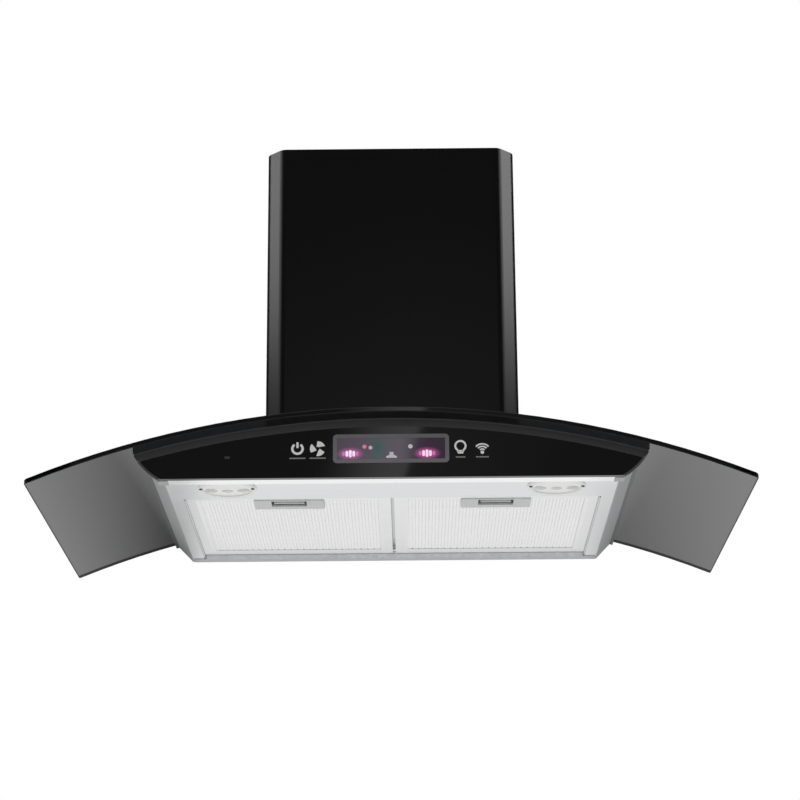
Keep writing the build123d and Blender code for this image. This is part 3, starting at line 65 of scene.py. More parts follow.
def add(owner, kind, sockets, **settings):
    """Add one shader node: its settings, and for each socket a value, an output or a whole node."""
    node = owner.node_tree.nodes.new("ShaderNode" + kind)
    for name, value in settings.items():
        setattr(node, name, value)
    for name, value in sockets.items():
        if isinstance(value, bpy.types.Node):
            value = next(output for output in value.outputs if output.enabled)
        if isinstance(value, bpy.types.NodeSocket):
            owner.node_tree.links.new(value, node.inputs[name])
        else:
            node.inputs[name].default_value = value
    return node


def blank(name):
    """A material with an empty node tree."""
    material = bpy.data.materials.new(name)
    material.use_nodes = True
    material.node_tree.nodes.clear()
    return material


def coat(material, *names):
    """Give CAD nodes this finish."""
    for name in names:
        nodes[name].data.materials.clear()
        nodes[name].data.materials.append(material)


galvanised_steel = blank("galvanised_steel")
place = add(galvanised_steel, "TexCoord", {}).outputs["Object"]
crystals = add(galvanised_steel, "TexVoronoi", {"Vector": place, "Scale": 1 / ZINC_CRYSTAL})
crystal_tone = add(galvanised_steel, "RGBToBW", {"Color": crystals.outputs["Color"]})
zinc = add(
    galvanised_steel, "Mix",
    {"Factor": crystal_tone, MIX_FIRST: linear("#a5a7a9"), MIX_SECOND: linear("#bfc1c2")},
    data_type="RGBA",
)
zinc_gloss = add(galvanised_steel, "MapRange", {"Value": crystal_tone, "To Min": 0.34, "To Max": 0.52})
zinc_shader = add(
    galvanised_steel, "BsdfPrincipled", {"Base Color": zinc, "Metallic": 1.0, "Roughness": zinc_gloss},
)
add(galvanised_steel, "OutputMaterial", {"Surface": zinc_shader})
coat(galvanised_steel, "wall_bracket", "chimney_bracket", "chimney_stays", "air_box", "body_back")
coat(galvanised_steel, "motor_can", "motor_cap", "motor_bracket")

# Body sheets: 1 mm stainless steel, folded and spot welded, brushed along the hood's length. The fine
# scratches smear reflections and are drawn 2 mm wide to show. The front sheet's tone is painted
# brighter, a painted highlight. The side sheets are rougher and painted darker, as painted shade. The
# deck, hidden under the glass, is steel painted dark, as painted shade beside the wings.
SCRATCH_LENGTH = 160 * MM
SCRATCH_WIDTH = 2 * MM
SCRATCH_DEPTH = 0.02 * MM


def brushed(name, dark, light, gloss_low, gloss_high):
    """A brushed metal between two tones, with scratches along X."""
    metal = blank(name)
    place = add(metal, "TexCoord", {}).outputs["Object"]
    stretch = (1 / SCRATCH_LENGTH, 1 / SCRATCH_WIDTH, 1 / SCRATCH_WIDTH)
    along = add(metal, "VectorMath", {0: place, 1: stretch}, operation="MULTIPLY")
    scratches = add(metal, "TexNoise", {"Vector": along, "Scale": 1.0, "Detail": 3.0})
    tone = add(
        metal, "Mix", {"Factor": scratches, MIX_FIRST: linear(dark), MIX_SECOND: linear(light)},
        data_type="RGBA",
    )
    gloss = add(metal, "MapRange", {"Value": scratches, "To Min": gloss_low, "To Max": gloss_high})
    bump = add(metal, "Bump", {"Height": scratches, "Distance": SCRATCH_DEPTH, "Strength": 0.4})
    shader = add(
        metal, "BsdfPrincipled",
        {"Base Color": tone, "Metallic": 1.0, "Roughness": gloss, "Normal": bump},
    )
    add(metal, "OutputMaterial", {"Surface": shader})
    return metal


brushed_stainless = brushed("brushed_stainless_steel", "#d2d3d4", "#e4e5e6", 0.24, 0.4)
coat(brushed_stainless, "underside_panel", "filter_centre_bar")
# Painted highlight: the front sheet is drawn lighter than the other stainless.
light_painted_stainless = brushed("stainless_steel_painted_lit", "#e6e7e8", "#f6f6f6", 0.18, 0.3)
coat(light_painted_stainless, "body_front")
# Painted shade: the side sheets are drawn darker than the other stainless, and rougher.
shade_painted_stainless = brushed("stainless_steel_painted_shaded", "#9a9b9c", "#b0b1b2", 0.5, 0.62)
coat(shade_painted_stainless, "side_panel_left", "side_panel_right")
# Painted shade: the deck is drawn dark for the shade it lies in beside the wings.
deck_steel_painted_shaded = brushed("deck_steel_painted_shaded", "#58595b", "#6a6b6d", 0.4, 0.5)
coat(deck_steel_painted_shaded, "body_deck")

# Blower: scroll, impeller, collar and flaps are moulded in black polypropylene. The mould was spark
# eroded, so the skin is matt, with a grain of about 1 mm.
MOULD_GRAIN = 1.2 * MM
MOULD_DEPTH = 0.03 * MM
MOULD_CLOUD = 40 * MM


def moulded(name, dark, light, gloss):
    """A moulded plastic between two near tones, with the fine grain of its mould."""
    plastic = blank(name)
    place = add(plastic, "TexCoord", {}).outputs["Object"]
    grain = add(plastic, "TexNoise", {"Vector": place, "Scale": 1 / MOULD_GRAIN, "Detail": 2.0})
    cloud = add(plastic, "TexNoise", {"Vector": place, "Scale": 1 / MOULD_CLOUD, "Detail": 2.0})
    tone = add(
        plastic, "Mix", {"Factor": cloud, MIX_FIRST: linear(dark), MIX_SECOND: linear(light)},
        data_type="RGBA",
    )
    bump = add(plastic, "Bump", {"Height": grain, "Distance": MOULD_DEPTH, "Strength": 0.5})
    shader = add(plastic, "BsdfPrincipled", {"Base Color": tone, "Roughness": gloss, "Normal": bump})
    add(plastic, "OutputMaterial", {"Surface": shader})
    return plastic


black_polypropylene = moulded("moulded_black_polypropylene", "#121314", "#1d1e20", 0.48)
coat(black_polypropylene, "scroll_front", "scroll_rear", "impeller", "duct_collar", "mains_gland")
coat(black_polypropylene, "damper_flap_left", "damper_flap_right")

# Shaft, rotor, bearings and flap pin: steel ground round, with rings left by the grinding wheel.
# The stator about them is wound with varnished copper wire, laid side by side along the axis.
GRINDING_RING = 1.5 * MM
WIRE_PITCH = 1.2 * MM
WAVE_UNIT = 2 * pi / 20  # one band of a wave texture at scale 1


def ringed(name, dark, light, pitch, gloss):
    """A metal turned or wound about the blower's axis, with rings at this pitch along Y."""
    metal = blank(name)
    place = add(metal, "TexCoord", {}).outputs["Object"]
    rings = add(
        metal, "TexWave", {"Vector": place, "Scale": WAVE_UNIT / pitch, "Distortion": 1.0, "Detail": 2.0},
        bands_direction="Y",
    )
    tone = add(
        metal, "Mix", {"Factor": rings.outputs["Fac"], MIX_FIRST: linear(dark), MIX_SECOND: linear(light)},
        data_type="RGBA",
    )
    shader = add(metal, "BsdfPrincipled", {"Base Color": tone, "Metallic": 1.0, "Roughness": gloss})
    add(metal, "OutputMaterial", {"Surface": shader})
    return metal


ground_steel = ringed("ground_steel", "#8f9092", "#b4b5b7", GRINDING_RING, 0.26)
coat(ground_steel, "motor_shaft", "motor_rotor", "motor_bearings", "damper_pin")
copper_wire = ringed("varnished_copper_wire", "#6f3414", "#b8692f", WIRE_PITCH, 0.38)
coat(copper_wire, "motor_stator")

# Electrics on the blower box: a box and lid moulded in white ABS, and the motor's run capacitor in
# a white sleeve. All boards are glass fibre under green solder mask, with paler copper tracks.
TRACK_PITCH = 3.5 * MM
white_abs = moulded("moulded_white_abs", "#c9c9c4", "#dcdcd8", 0.42)
coat(white_abs, "control_box", "control_box_lid", "run_capacitor")

solder_mask = blank("green_solder_mask")
place = add(solder_mask, "TexCoord", {}).outputs["Object"]
tracks = add(
    solder_mask,
    "TexBrick",
    {
        "Vector": place,
        "Color1": linear("#0f4a2a"),
        "Color2": linear("#135633"),
        "Mortar": linear("#2f7d4c"),
        "Scale": 1 / (4 * TRACK_PITCH),
        "Mortar Size": 0.03,
    },
)
mask_shader = add(
    solder_mask, "BsdfPrincipled", {"Base Color": tracks, "Roughness": 0.3, "Coat Weight": 0.4},
)
add(solder_mask, "OutputMaterial", {"Surface": mask_shader})
coat(solder_mask, "power_board", "touch_board", "display_module")
coat(solder_mask, "lamp_board_left", "lamp_board_right")

# Glass canopy: 6 mm float glass, smoked in the melt, ground along its edges, bent over a former and
# toughened. So little light comes through that it reads as grey by what it mirrors. Along its sides and
# back a dull, opaque band of the same smoke is painted shade, for the dark its edges show. The ground
# corners of its front edge are dull.
GLASS_WAVE = 90 * MM
SIDE_SHADE_BAND, BACK_SHADE_BAND = 1.6 * MM, 15 * MM
CORNER_START, CORNER_END = 0.05 * MM, 0.85 * MM
glass_low, glass_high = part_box("glass_canopy")
smoked_glass = blank("smoked_float_glass")
place = add(smoked_glass, "TexCoord", {}).outputs["Object"]
waves = add(smoked_glass, "TexNoise", {"Vector": place, "Scale": 1 / GLASS_WAVE, "Detail": 1.0})
smoke = add(
    smoked_glass, "Mix", {"Factor": waves, MIX_FIRST: linear("#1a1b1d"), MIX_SECOND: linear("#232426")},
    data_type="RGBA",
)
glass_axes = add(smoked_glass, "SeparateXYZ", {"Vector": place})
from_middle = add(smoked_glass, "Math", {0: glass_axes.outputs["X"]}, operation="ABSOLUTE")
at_tip = add(
    smoked_glass, "Math", {0: from_middle, 1: glass_high.x - SIDE_SHADE_BAND}, operation="GREATER_THAN",
)
at_back = add(
    smoked_glass, "Math", {0: glass_axes.outputs["Y"], 1: glass_high.y - BACK_SHADE_BAND},
    operation="GREATER_THAN",
)
# Painted shade: a dull, opaque band along the sides and back of the glass.
at_shade_band = add(smoked_glass, "Math", {0: at_tip, 1: at_back}, operation="MAXIMUM")
at_corner = add(
    smoked_glass,
    "Math",
    {
        0: glass_axes.outputs["Y"],
        1: glass_low.y + (CORNER_START + CORNER_END) / 2,
        2: (CORNER_END - CORNER_START) / 2,
    },
    operation="COMPARE",
)
at_dull_corner_and_shade_band = add(smoked_glass, "Math", {0: at_shade_band, 1: at_corner}, operation="MAXIMUM")
glass_shader = add(
    smoked_glass, "BsdfPrincipled",
    {"Base Color": smoke, "Roughness": 0.03, "IOR": 1.52, "Transmission Weight": 0.85},
)
dull_edge_and_shade_shader = add(smoked_glass, "BsdfPrincipled", {"Base Color": smoke, "Roughness": 0.55, "IOR": 1.2})
glass_and_edge = add(smoked_glass, "MixShader", {0: at_dull_corner_and_shade_band, 1: glass_shader, 2: dull_edge_and_shade_shader})
add(smoked_glass, "OutputMaterial", {"Surface": glass_and_edge})
coat(smoked_glass, "glass_canopy")

# Seals of the glass: strips and washers punched from sheets of black EPDM. The rubber is matt, and a
# faint bloom clouds it in small patches.
BLOOM_PATCH = 6 * MM


def clouded(name, dark, light, patch, detail, finish, socket="Base Color"):
    """A surface that drifts between two tones in patches this wide; finish sets its other sockets."""
    surface = blank(name)
    place = add(surface, "TexCoord", {}).outputs["Object"]
    drift = add(surface, "TexNoise", {"Vector": place, "Scale": 1 / patch, "Detail": detail})
    tones = {"Factor": drift, MIX_FIRST: linear(dark), MIX_SECOND: linear(light)}
    tone = add(surface, "Mix", tones, data_type="RGBA")
    shader = add(surface, "BsdfPrincipled", {socket: tone, **finish})
    add(surface, "OutputMaterial", {"Surface": shader})
    return surface


epdm_rubber = clouded("matt_epdm_rubber", "#0d0d0e", "#1b1b1c", BLOOM_PATCH, 3.0, {"Roughness": 0.75})
coat(epdm_rubber, "glass_gasket", "glass_washers")

# Bolts and nuts of the glass: steel with a bright zinc plate, faintly cloudy where the bath was
# uneven. The latches' springs and the panel screws have the same plate.
ZINC_PATCH = 2 * MM
PLATE_FINISH = {"Metallic": 1.0, "Roughness": 0.28}
zinc_plate = clouded("bright_zinc_plate", "#a3a5a4", "#c9cac6", ZINC_PATCH, 2.0, PLATE_FINISH)
coat(zinc_plate, "glass_screws", "glass_nuts")

# Chimney cover: one steel sheet with two bends at each front corner, powder coated satin black.
# The powder flows out into a faint orange peel, drawn 2 mm wide, which softens every reflection.
PEEL = 2 * MM
PEEL_DEPTH = 0.012 * MM
COAT_CLOUD = 120 * MM
black_powder_coat = blank("satin_black_powder_coat")
place = add(black_powder_coat, "TexCoord", {}).outputs["Object"]
peel = add(black_powder_coat, "TexNoise", {"Vector": place, "Scale": 1 / PEEL, "Detail": 1.0})
coat_cloud = add(black_powder_coat, "TexNoise", {"Vector": place, "Scale": 1 / COAT_CLOUD, "Detail": 2.0})
jet = add(
    black_powder_coat, "Mix",
    {"Factor": coat_cloud, MIX_FIRST: linear("#030303"), MIX_SECOND: linear("#060606")}, data_type="RGBA",
)
peel_bump = add(black_powder_coat, "Bump", {"Height": peel, "Distance": PEEL_DEPTH, "Strength": 0.3})
powder_shader = add(
    black_powder_coat, "BsdfPrincipled", {"Base Color": jet, "Roughness": 0.26, "Normal": peel_bump},
)
add(black_powder_coat, "OutputMaterial", {"Surface": powder_shader})
coat(black_powder_coat, "chimney_cover")

# Front panel: black acrylic, cut to the curve of the glass. Only faint polishing haze breaks the
# mirror of its face; the bevel along the glass is left satin by the cutter, and painted greyer, as a
# painted highlight where it catches the light.
HAZE = 60 * MM
ARCH_RADIUS = 1175 * MM
BEVEL_INSIDE = 18.5 * MM
black_acrylic = blank("polished_black_acrylic")
place = add(black_acrylic, "TexCoord", {}).outputs["Object"]
haze = add(black_acrylic, "TexNoise", {"Vector": place, "Scale": 1 / HAZE, "Detail": 3.0})
mirror = add(black_acrylic, "MapRange", {"Value": haze, "To Min": 0.02, "To Max": 0.05})
depth_tone = add(
    black_acrylic, "Mix", {"Factor": haze, MIX_FIRST: linear("#090909"), MIX_SECOND: linear("#0e0e0f")},
    data_type="RGBA",
)
upright = add(black_acrylic, "VectorMath", {0: place, 1: (1, 0, 1)}, operation="MULTIPLY")
from_axis = add(
    black_acrylic, "VectorMath", {0: upright, 1: (0, 0, glass_high.z - ARCH_RADIUS)},
    operation="DISTANCE",
)
on_bevel = add(
    black_acrylic, "Math", {0: from_axis, 1: ARCH_RADIUS - BEVEL_INSIDE}, operation="GREATER_THAN",
)
# Painted highlight: the bevel's tone is grey against the black face.
tone_with_bevel_highlight = add(
    black_acrylic, "Mix", {"Factor": on_bevel, MIX_FIRST: depth_tone, MIX_SECOND: linear("#515152")},
    data_type="RGBA",
)
cut_gloss = add(black_acrylic, "Mix", {0: on_bevel, 2: mirror, 3: 0.45})
acrylic_shader = add(
    black_acrylic, "BsdfPrincipled", {"Base Color": tone_with_bevel_highlight, "Roughness": cut_gloss, "IOR": 1.49},
)
add(black_acrylic, "OutputMaterial", {"Surface": acrylic_shader})
coat(black_acrylic, "fascia_panel")

# Display frame: moulded in grey ABS with a satin skin, and glued into the panel. The gesture
# sensor's window is a darker plug of the same plastic.
satin_grey_abs = moulded("satin_grey_abs", "#69676c", "#757278", 0.35)
coat(satin_grey_abs, "display_bezel")
dark_grey_abs = moulded("satin_dark_grey_abs", "#39383b", "#424144", 0.35)
coat(dark_grey_abs, "gesture_sensor")

# Display window: a pane of tinted acrylic over a lit panel. The panel's backlight is uneven: teal
# left of the middle, mauve in the middle, and a magenta halo about the two level bars at the ends.
# It falls off towards the right end.
TEAL_X, TEAL_REACH = -17 * MM, 13 * MM
FALL_START, FALL_END = 12 * MM, 34 * MM
HALOS = ((-50.5 * MM, "#9c5686"), (44.5 * MM, "#a04a80"))
HALO_DROP, HALO_REACH = 6.5 * MM, 19 * MM
window_low, window_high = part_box("display_lens")
window_middle = (window_low + window_high) / 2
tinted_window = blank("tinted_display_window")
place = add(tinted_window, "TexCoord", {}).outputs["Object"]
window_axes = add(tinted_window, "SeparateXYZ", {"Vector": place})
teal_far = add(tinted_window, "Math", {0: window_axes.outputs["X"], 1: TEAL_X}, operation="SUBTRACT")
teal_away = add(tinted_window, "Math", {0: teal_far}, operation="ABSOLUTE")
teal_share = add(
    tinted_window,
    "MapRange",
    {
        "Value": teal_away,
        "From Min": 0.3 * TEAL_REACH,
        "From Max": TEAL_REACH,
        "To Min": 1.0,
        "To Max": 0.0,
    },
    interpolation_type="SMOOTHSTEP",
)
right_share = add(
    tinted_window, "MapRange",
    {"Value": window_axes.outputs["X"], "From Min": FALL_START, "From Max": FALL_END},
)
mauve = add(
    tinted_window, "Mix",
    {"Factor": right_share, MIX_FIRST: linear("#48404c"), MIX_SECOND: linear("#2e2231")},
    data_type="RGBA",
)
backlight = add(
    tinted_window, "Mix", {"Factor": teal_share, MIX_FIRST: mauve, MIX_SECOND: linear("#3a4649")},
    data_type="RGBA",
)
for halo_x, halo_colour in HALOS:
    squeeze = (1 / HALO_REACH, 0, 2 / HALO_REACH)
    centre = (halo_x / HALO_REACH, 0, 2 * (window_middle.z - HALO_DROP) / HALO_REACH)
    squeezed = add(tinted_window, "VectorMath", {0: place, 1: squeeze}, operation="MULTIPLY")
    away = add(tinted_window, "VectorMath", {0: squeezed, 1: centre}, operation="DISTANCE")
    halo_share = add(
        tinted_window, "MapRange", {"Value": away, "From Min": 0.35, "To Min": 1.0, "To Max": 0.0},
        interpolation_type="SMOOTHSTEP",
    )
    backlight = add(
        tinted_window, "Mix",
        {"Factor": halo_share, MIX_FIRST: backlight, MIX_SECOND: linear(halo_colour)}, data_type="RGBA",
    )
window_shader = add(
    tinted_window,
    "BsdfPrincipled",
    {
        "Base Color": linear("#0b0a0c"),
        "Roughness": 0.05,
        "Emission Color": backlight,
        "Emission Strength": 1.0,
    },
)
add(tinted_window, "OutputMaterial", {"Surface": window_shader})
coat(tinted_window, "display_lens")

# Display figures: segments of the lit panel, seen in the window's front. At each end a row of level
# bars, then small signal dots, a teal gauge and a sign of the hood in the middle.
FIGURE_DEPTH = 0.1 * MM
BAR_Z, BAR_PITCH, BAR_RADIUS = -241.4, 4.2, 1.75
BAR_HALVES, MIDDLE_BAR, OUTER_BARS = (1.0, 2.0, 3.0, 2.0, 1.0), 2, (0, 4)
BAR_END_STEPS = 8
DOT_SWEEP = 345
WHITE_DOTS = (((-25.5, -233.7), 2.4), ((24, -232.4), 2.8))
RED_DOT, RED_RADIUS = (-33, -232.4), 2.6
HOOD_SIGN = [(-6, -247), (7, -247), (7, -245), (3, -243), (3, -239.5)]
HOOD_SIGN += [(-2, -239.5), (-2, -243), (-6, -245)]
GAUGE_LEFT, GAUGE_RIGHT, GAUGE_LOW = -20, -13, -237.5
GAUGE_STEPS, GAUGE_PITCH, GAUGE_BAR = 4, 2.6, 1.7
WIDE_GLOW, DOT_GLOW, GAUGE_GLOW = 8 * MM, 5 * MM, 6 * MM
SMOOTH_BELOW = radians(35)


def put(name, shape):
    """Turn a shape into an object of the scene."""
    mesh = bpy.data.meshes.new(name)
    shape.to_mesh(mesh)
    shape.free()
    made = bpy.data.objects.new(name, mesh)
    bpy.context.scene.collection.objects.link(made)
    return made


def piece(name, shape, material, body):
    """Turn a shape into a piece of this finish that rides on a body."""
    bmesh.ops.recalc_face_normals(shape, faces=shape.faces)
    for face in shape.faces:
        face.smooth = True
    made = put(name, shape)
    made.data.set_sharp_from_angle(angle=SMOOTH_BELOW)
    made.data.materials.append(material)
    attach(made, body)
    return made


def loft(shape, rings):
    """Join a row of like rings of corners into one closed form."""
    shape.faces.new(rings[0])
    shape.faces.new(reversed(rings[-1]))
    for near, far in zip(rings, rings[1:]):
        for k in range(len(near)):
            shape.faces.new((near[k - 1], near[k], far[k], far[k - 1]))


def plate(shape, outline, front, depth):
    """Add a thin plate that faces the room: an outline of (x, z) points in mm, from this depth."""
    faces = (front, front + depth)
    loft(shape, [[shape.verts.new((x * MM, y, z * MM)) for x, z in outline] for y in faces])


def arc(centre, radius, start, end, steps=20):
    """Points in mm along an arc between two angles in degrees, from X towards Z."""
    turns = [radians(start + (end - start) * k / steps) for k in range(steps + 1)]
    return [(centre[0] + radius * cos(t), centre[1] + radius * sin(t)) for t in turns]


def capsule(middle, low, high, radius):
    """Outline of an upright bar with round ends, between the centres of its two ends."""
    upper = arc((middle, high), radius, 0, 180, BAR_END_STEPS)
    return upper + arc((middle, low), radius, 180, 360, BAR_END_STEPS)


def lit(name, dark, light, reach):
    """A lit segment of a display: brightest in patches of about this reach."""
    finish = {"Base Color": linear("#101010"), "Roughness": 0.2, "Emission Strength": 1.0}
    return clouded(name, dark, light, reach, 1.0, finish, "Emission Color")


window_front = window_low.y - FIGURE_DEPTH / 2
outer_bars, inner_bars = bmesh.new(), bmesh.new()
for halo_x, _ in HALOS:
    for k, half_height in enumerate(BAR_HALVES):
        middle = halo_x / MM + (k - MIDDLE_BAR) * BAR_PITCH
        outline = capsule(middle, BAR_Z - half_height, BAR_Z + half_height, BAR_RADIUS)
        bars = outer_bars if k in OUTER_BARS else inner_bars
        plate(bars, outline, window_front, FIGURE_DEPTH)
magenta_light = lit("magenta_lit_segment", "#b0609a", "#c982b6", WIDE_GLOW)
piece("display_outer_bars", outer_bars, magenta_light, "hood")
pink_light = lit("pale_pink_lit_segment", "#ecb4e2", "#fff2ff", WIDE_GLOW)
piece("display_inner_bars", inner_bars, pink_light, "hood")

dots = bmesh.new()
for centre, radius in WHITE_DOTS:
    plate(dots, arc(centre, radius, 0, DOT_SWEEP), window_front, FIGURE_DEPTH)
plate(dots, HOOD_SIGN, window_front, FIGURE_DEPTH)
white_light = lit("white_lit_segment", "#9d99a0", "#c4c0c8", WIDE_GLOW)
piece("display_signs", dots, white_light, "hood")

red_dot = bmesh.new()
plate(red_dot, arc(RED_DOT, RED_RADIUS, 0, DOT_SWEEP), window_front, FIGURE_DEPTH)
red_light = lit("red_lit_segment", "#b4596e", "#d9829a", DOT_GLOW)
piece("display_red_dot", red_dot, red_light, "hood")

gauge = bmesh.new()
for k in range(GAUGE_STEPS):
    low = GAUGE_LOW + k * GAUGE_PITCH
    high = low + GAUGE_BAR
    outline = [(GAUGE_LEFT, low), (GAUGE_RIGHT, low), (GAUGE_RIGHT, high), (GAUGE_LEFT, high)]
    plate(gauge, outline, window_front, FIGURE_DEPTH)
teal_light = lit("teal_lit_segment", "#2a4848", "#365858", GAUGE_GLOW)
piece("display_gauge", gauge, teal_light, "hood")

# Touch signs: screen printed on the acrylic in pale grey ink, left a tenth of a millimetre proud.
# Power, fan, lamp and hand wave, with a short dash under each.
SIGN_Z, DASH_Z, DASH_STROKE = -234.5, -246.8, 1.6
POWER_X, FAN_X, LAMP_X, WAVE_X = -116, -91, 86, 113
DASH_HALVES = ((POWER_X, 10), (FAN_X, 10), (LAMP_X, 6), (WAVE_X, 8))
SIGN_RING = 6.4
RING_START, RING_END, RING_STROKE = 125, 415, 3.0
STEM_LOW, STEM_HIGH, STEM_STROKE = SIGN_Z + 1, SIGN_Z + 8.5, 2.8
BLADES, BLADE_TURN, BLADE_SWEEP = 3, 20, 72
BLADE_TIP, BLADE_ROOT = 9.6, 2.4
ROOT_START, ROOT_END = 104, 36
BULB_Z, BULB_START, BULB_END, BULB_STROKE = SIGN_Z + 2, -55, 235, 2.4
NECK_Z, NECK_HALF = SIGN_Z - 6.8, 2.4
CAP_Z, CAP_HALF, CAP_STROKE = SIGN_Z - 4.4, 2.8, 2.0
WAVE_Z, WAVE_START, WAVE_END, WAVE_STROKE = SIGN_Z - 6.0, 42, 138, 1.9
WAVE_REACHES = (3.8, 7.1, 10.4)
SPOT_Z, SPOT_RADIUS = SIGN_Z - 6.4, 2.2
INK_DEPTH = 0.12 * MM
panel_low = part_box("fascia_panel")[0]
ink_front = panel_low.y - INK_DEPTH / 2


def ribbon(points, width):
    """Outline of a stroke of this width along an open line of points."""
    left, right = [], []
    for k, point in enumerate(points):
        before, after = Vector(points[max(k - 1, 0)]), Vector(points[min(k + 1, len(points) - 1)])
        run = (after - before).normalized() * width / 2
        left.append((point[0] - run.y, point[1] + run.x))
        right.append((point[0] + run.y, point[1] - run.x))
    return left + right[::-1]


signs = bmesh.new()
ring = arc((POWER_X, SIGN_Z), SIGN_RING, RING_START, RING_END)
plate(signs, ribbon(ring, RING_STROKE), ink_front, INK_DEPTH)
stem = [(POWER_X, STEM_LOW), (POWER_X, STEM_HIGH)]
plate(signs, ribbon(stem, STEM_STROKE), ink_front, INK_DEPTH)
for blade in range(BLADES):
    turn = BLADE_TURN + blade * 360 / BLADES
    outer = arc((FAN_X, SIGN_Z), BLADE_TIP, turn, turn + BLADE_SWEEP, 10)
    inner = arc((FAN_X, SIGN_Z), BLADE_ROOT, turn + ROOT_START, turn + ROOT_END, 6)
    plate(signs, outer + inner, ink_front, INK_DEPTH)
bulb = arc((LAMP_X, BULB_Z), SIGN_RING, BULB_START, BULB_END)
bulb += [(LAMP_X - NECK_HALF, NECK_Z), (LAMP_X + NECK_HALF, NECK_Z)]
plate(signs, ribbon(bulb + [bulb[0]], BULB_STROKE), ink_front, INK_DEPTH)
cap = [(LAMP_X - CAP_HALF, CAP_Z), (LAMP_X + CAP_HALF, CAP_Z)]
plate(signs, ribbon(cap, CAP_STROKE), ink_front, INK_DEPTH)
for reach in WAVE_REACHES:
    wave = arc((WAVE_X, WAVE_Z), reach, WAVE_START, WAVE_END, 12)
    plate(signs, ribbon(wave, WAVE_STROKE), ink_front, INK_DEPTH)
plate(signs, arc((WAVE_X, SPOT_Z), SPOT_RADIUS, 0, DOT_SWEEP), ink_front, INK_DEPTH)
pale_ink = moulded("pale_screen_ink", "#e2e2e2", "#f2f2f2", 0.5)
piece("touch_signs", signs, pale_ink, "hood")

dashes = bmesh.new()
for middle, half in DASH_HALVES:
    line = [(middle - half, DASH_Z), (middle + half, DASH_Z)]
    plate(dashes, ribbon(line, DASH_STROKE), ink_front, INK_DEPTH)
dim_ink = moulded("dim_screen_ink", "#7a7a7a", "#8a8a8a", 0.5)
piece("touch_sign_dashes", dashes, dim_ink, "hood")

# Corner laps: tabs of the side sheets, folded round the ends of the front beam and spot welded under
# it. They carry the side sheets' painted shade, which darkens the beam's ends.
BEAM_HALF = 289.0
LAP_SHEET, LAP_WIDTH, LAP_RISE, LAP_GAP = 0.6, 12.0, 9.0, 0.05
LAP_SETBACK, LAP_SHORTER = 1 * MM, 1.5 * MM
beam_low, beam_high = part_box("body_front")
laps = bmesh.new()
for end in (-1, 1):
    inner, under = BEAM_HALF + LAP_GAP, beam_low.z / MM - LAP_GAP
    outer, lowest = inner + LAP_SHEET, under - LAP_SHEET
    tab = inner - LAP_WIDTH
    outline = [(outer, under + LAP_RISE), (outer, lowest), (tab, lowest)]
    outline += [(tab, under), (inner, under), (inner, under + LAP_RISE)]
    outline = [(end * x, z) for x, z in outline]
    plate(laps, outline, beam_low.y + LAP_SETBACK, beam_high.y - beam_low.y - LAP_SHORTER)
# The laps take the side sheets' painted-shade stainless.
piece("corner_laps", laps, shade_painted_stainless, "hood")

# Seal of the front panel: a bead of grey silicone, pressed from end to end into the slit between
# the panel and the glass. It cures with a soft sheen.
SEAL_HALF, SEAL_STEPS = 319.4, 48
SLIT_LOW, SLIT_HIGH = 1167.6, 1168.9
SEAL_FRONT, SEAL_DEPTH = 5.4 * MM, 2.4 * MM
arch_axis = (0, (glass_high.z - ARCH_RADIUS) / MM)
seal_bead = bmesh.new()
right_end = degrees(acos(SEAL_HALF / SLIT_HIGH))
outline = arc(arch_axis, SLIT_HIGH, right_end, 180 - right_end, SEAL_STEPS)
outline += arc(arch_axis, SLIT_LOW, 180 - right_end, right_end, SEAL_STEPS)
plate(seal_bead, outline, panel_low.y + SEAL_FRONT, SEAL_DEPTH)
grey_silicone = moulded("grey_silicone", "#4c4c4e", "#58585a", 0.4)
piece("panel_seal", seal_bead, grey_silicone, "hood")

# Lamps: cans of white enamelled steel in the front strip, closed by a domed opal polycarbonate disc.
# Three clear bosses in a row on the disc sit over the light-emitting diodes; they are painted greyer
# than the disc, as painted shade on their slopes. Two small blackened screws through the can's flange
# hold it.
SIDES = ("left", "right")
DISC_CROWN, DISC_STEPS, DISC_SIDES = 1.4 * MM, 8, 64
BOSS_RADIUS, BOSS_HEIGHT, BOSS_SINK = 8.5 * MM, 2.6 * MM, 0.5 * MM
BOSS_PITCH, BOSS_BACK, BOSS_STEPS = 20.0 * MM, 3.0 * MM, 8
LAMP_SCREW_REACH, LAMP_SCREW_FRONT, LAMP_SCREW_SIDES = 33.0 * MM, 7.5 * MM, 20
LAMP_SCREW_HEAD = ((0, -0.5), (0.8, -0.6), (1.1, -1.2), (1.7, -1.2), (2.2, -0.7), (2.2, 0), (0, 0))


def turned(shape, profile, place, steps=32):
    """Add a turned form: (radius, height) points along its profile, about the Z axis of a place."""
    rings = []
    for radius, height in profile:
        angles = [2 * pi * k / steps for k in range(steps if radius else 1)]
        points = [Vector((radius * cos(a), radius * sin(a), height)) for a in angles]
        rings.append([shape.verts.new(place @ point) for point in points])
    for low, high in zip(rings, rings[1:]):
        for k in range(steps):
            ring = [low[k - 1 if len(low) > 1 else 0], low[k if len(low) > 1 else 0]]
            ring += [high[k if len(high) > 1 else 0], high[k - 1 if len(high) > 1 else 0]]
            shape.faces.new(dict.fromkeys(ring))


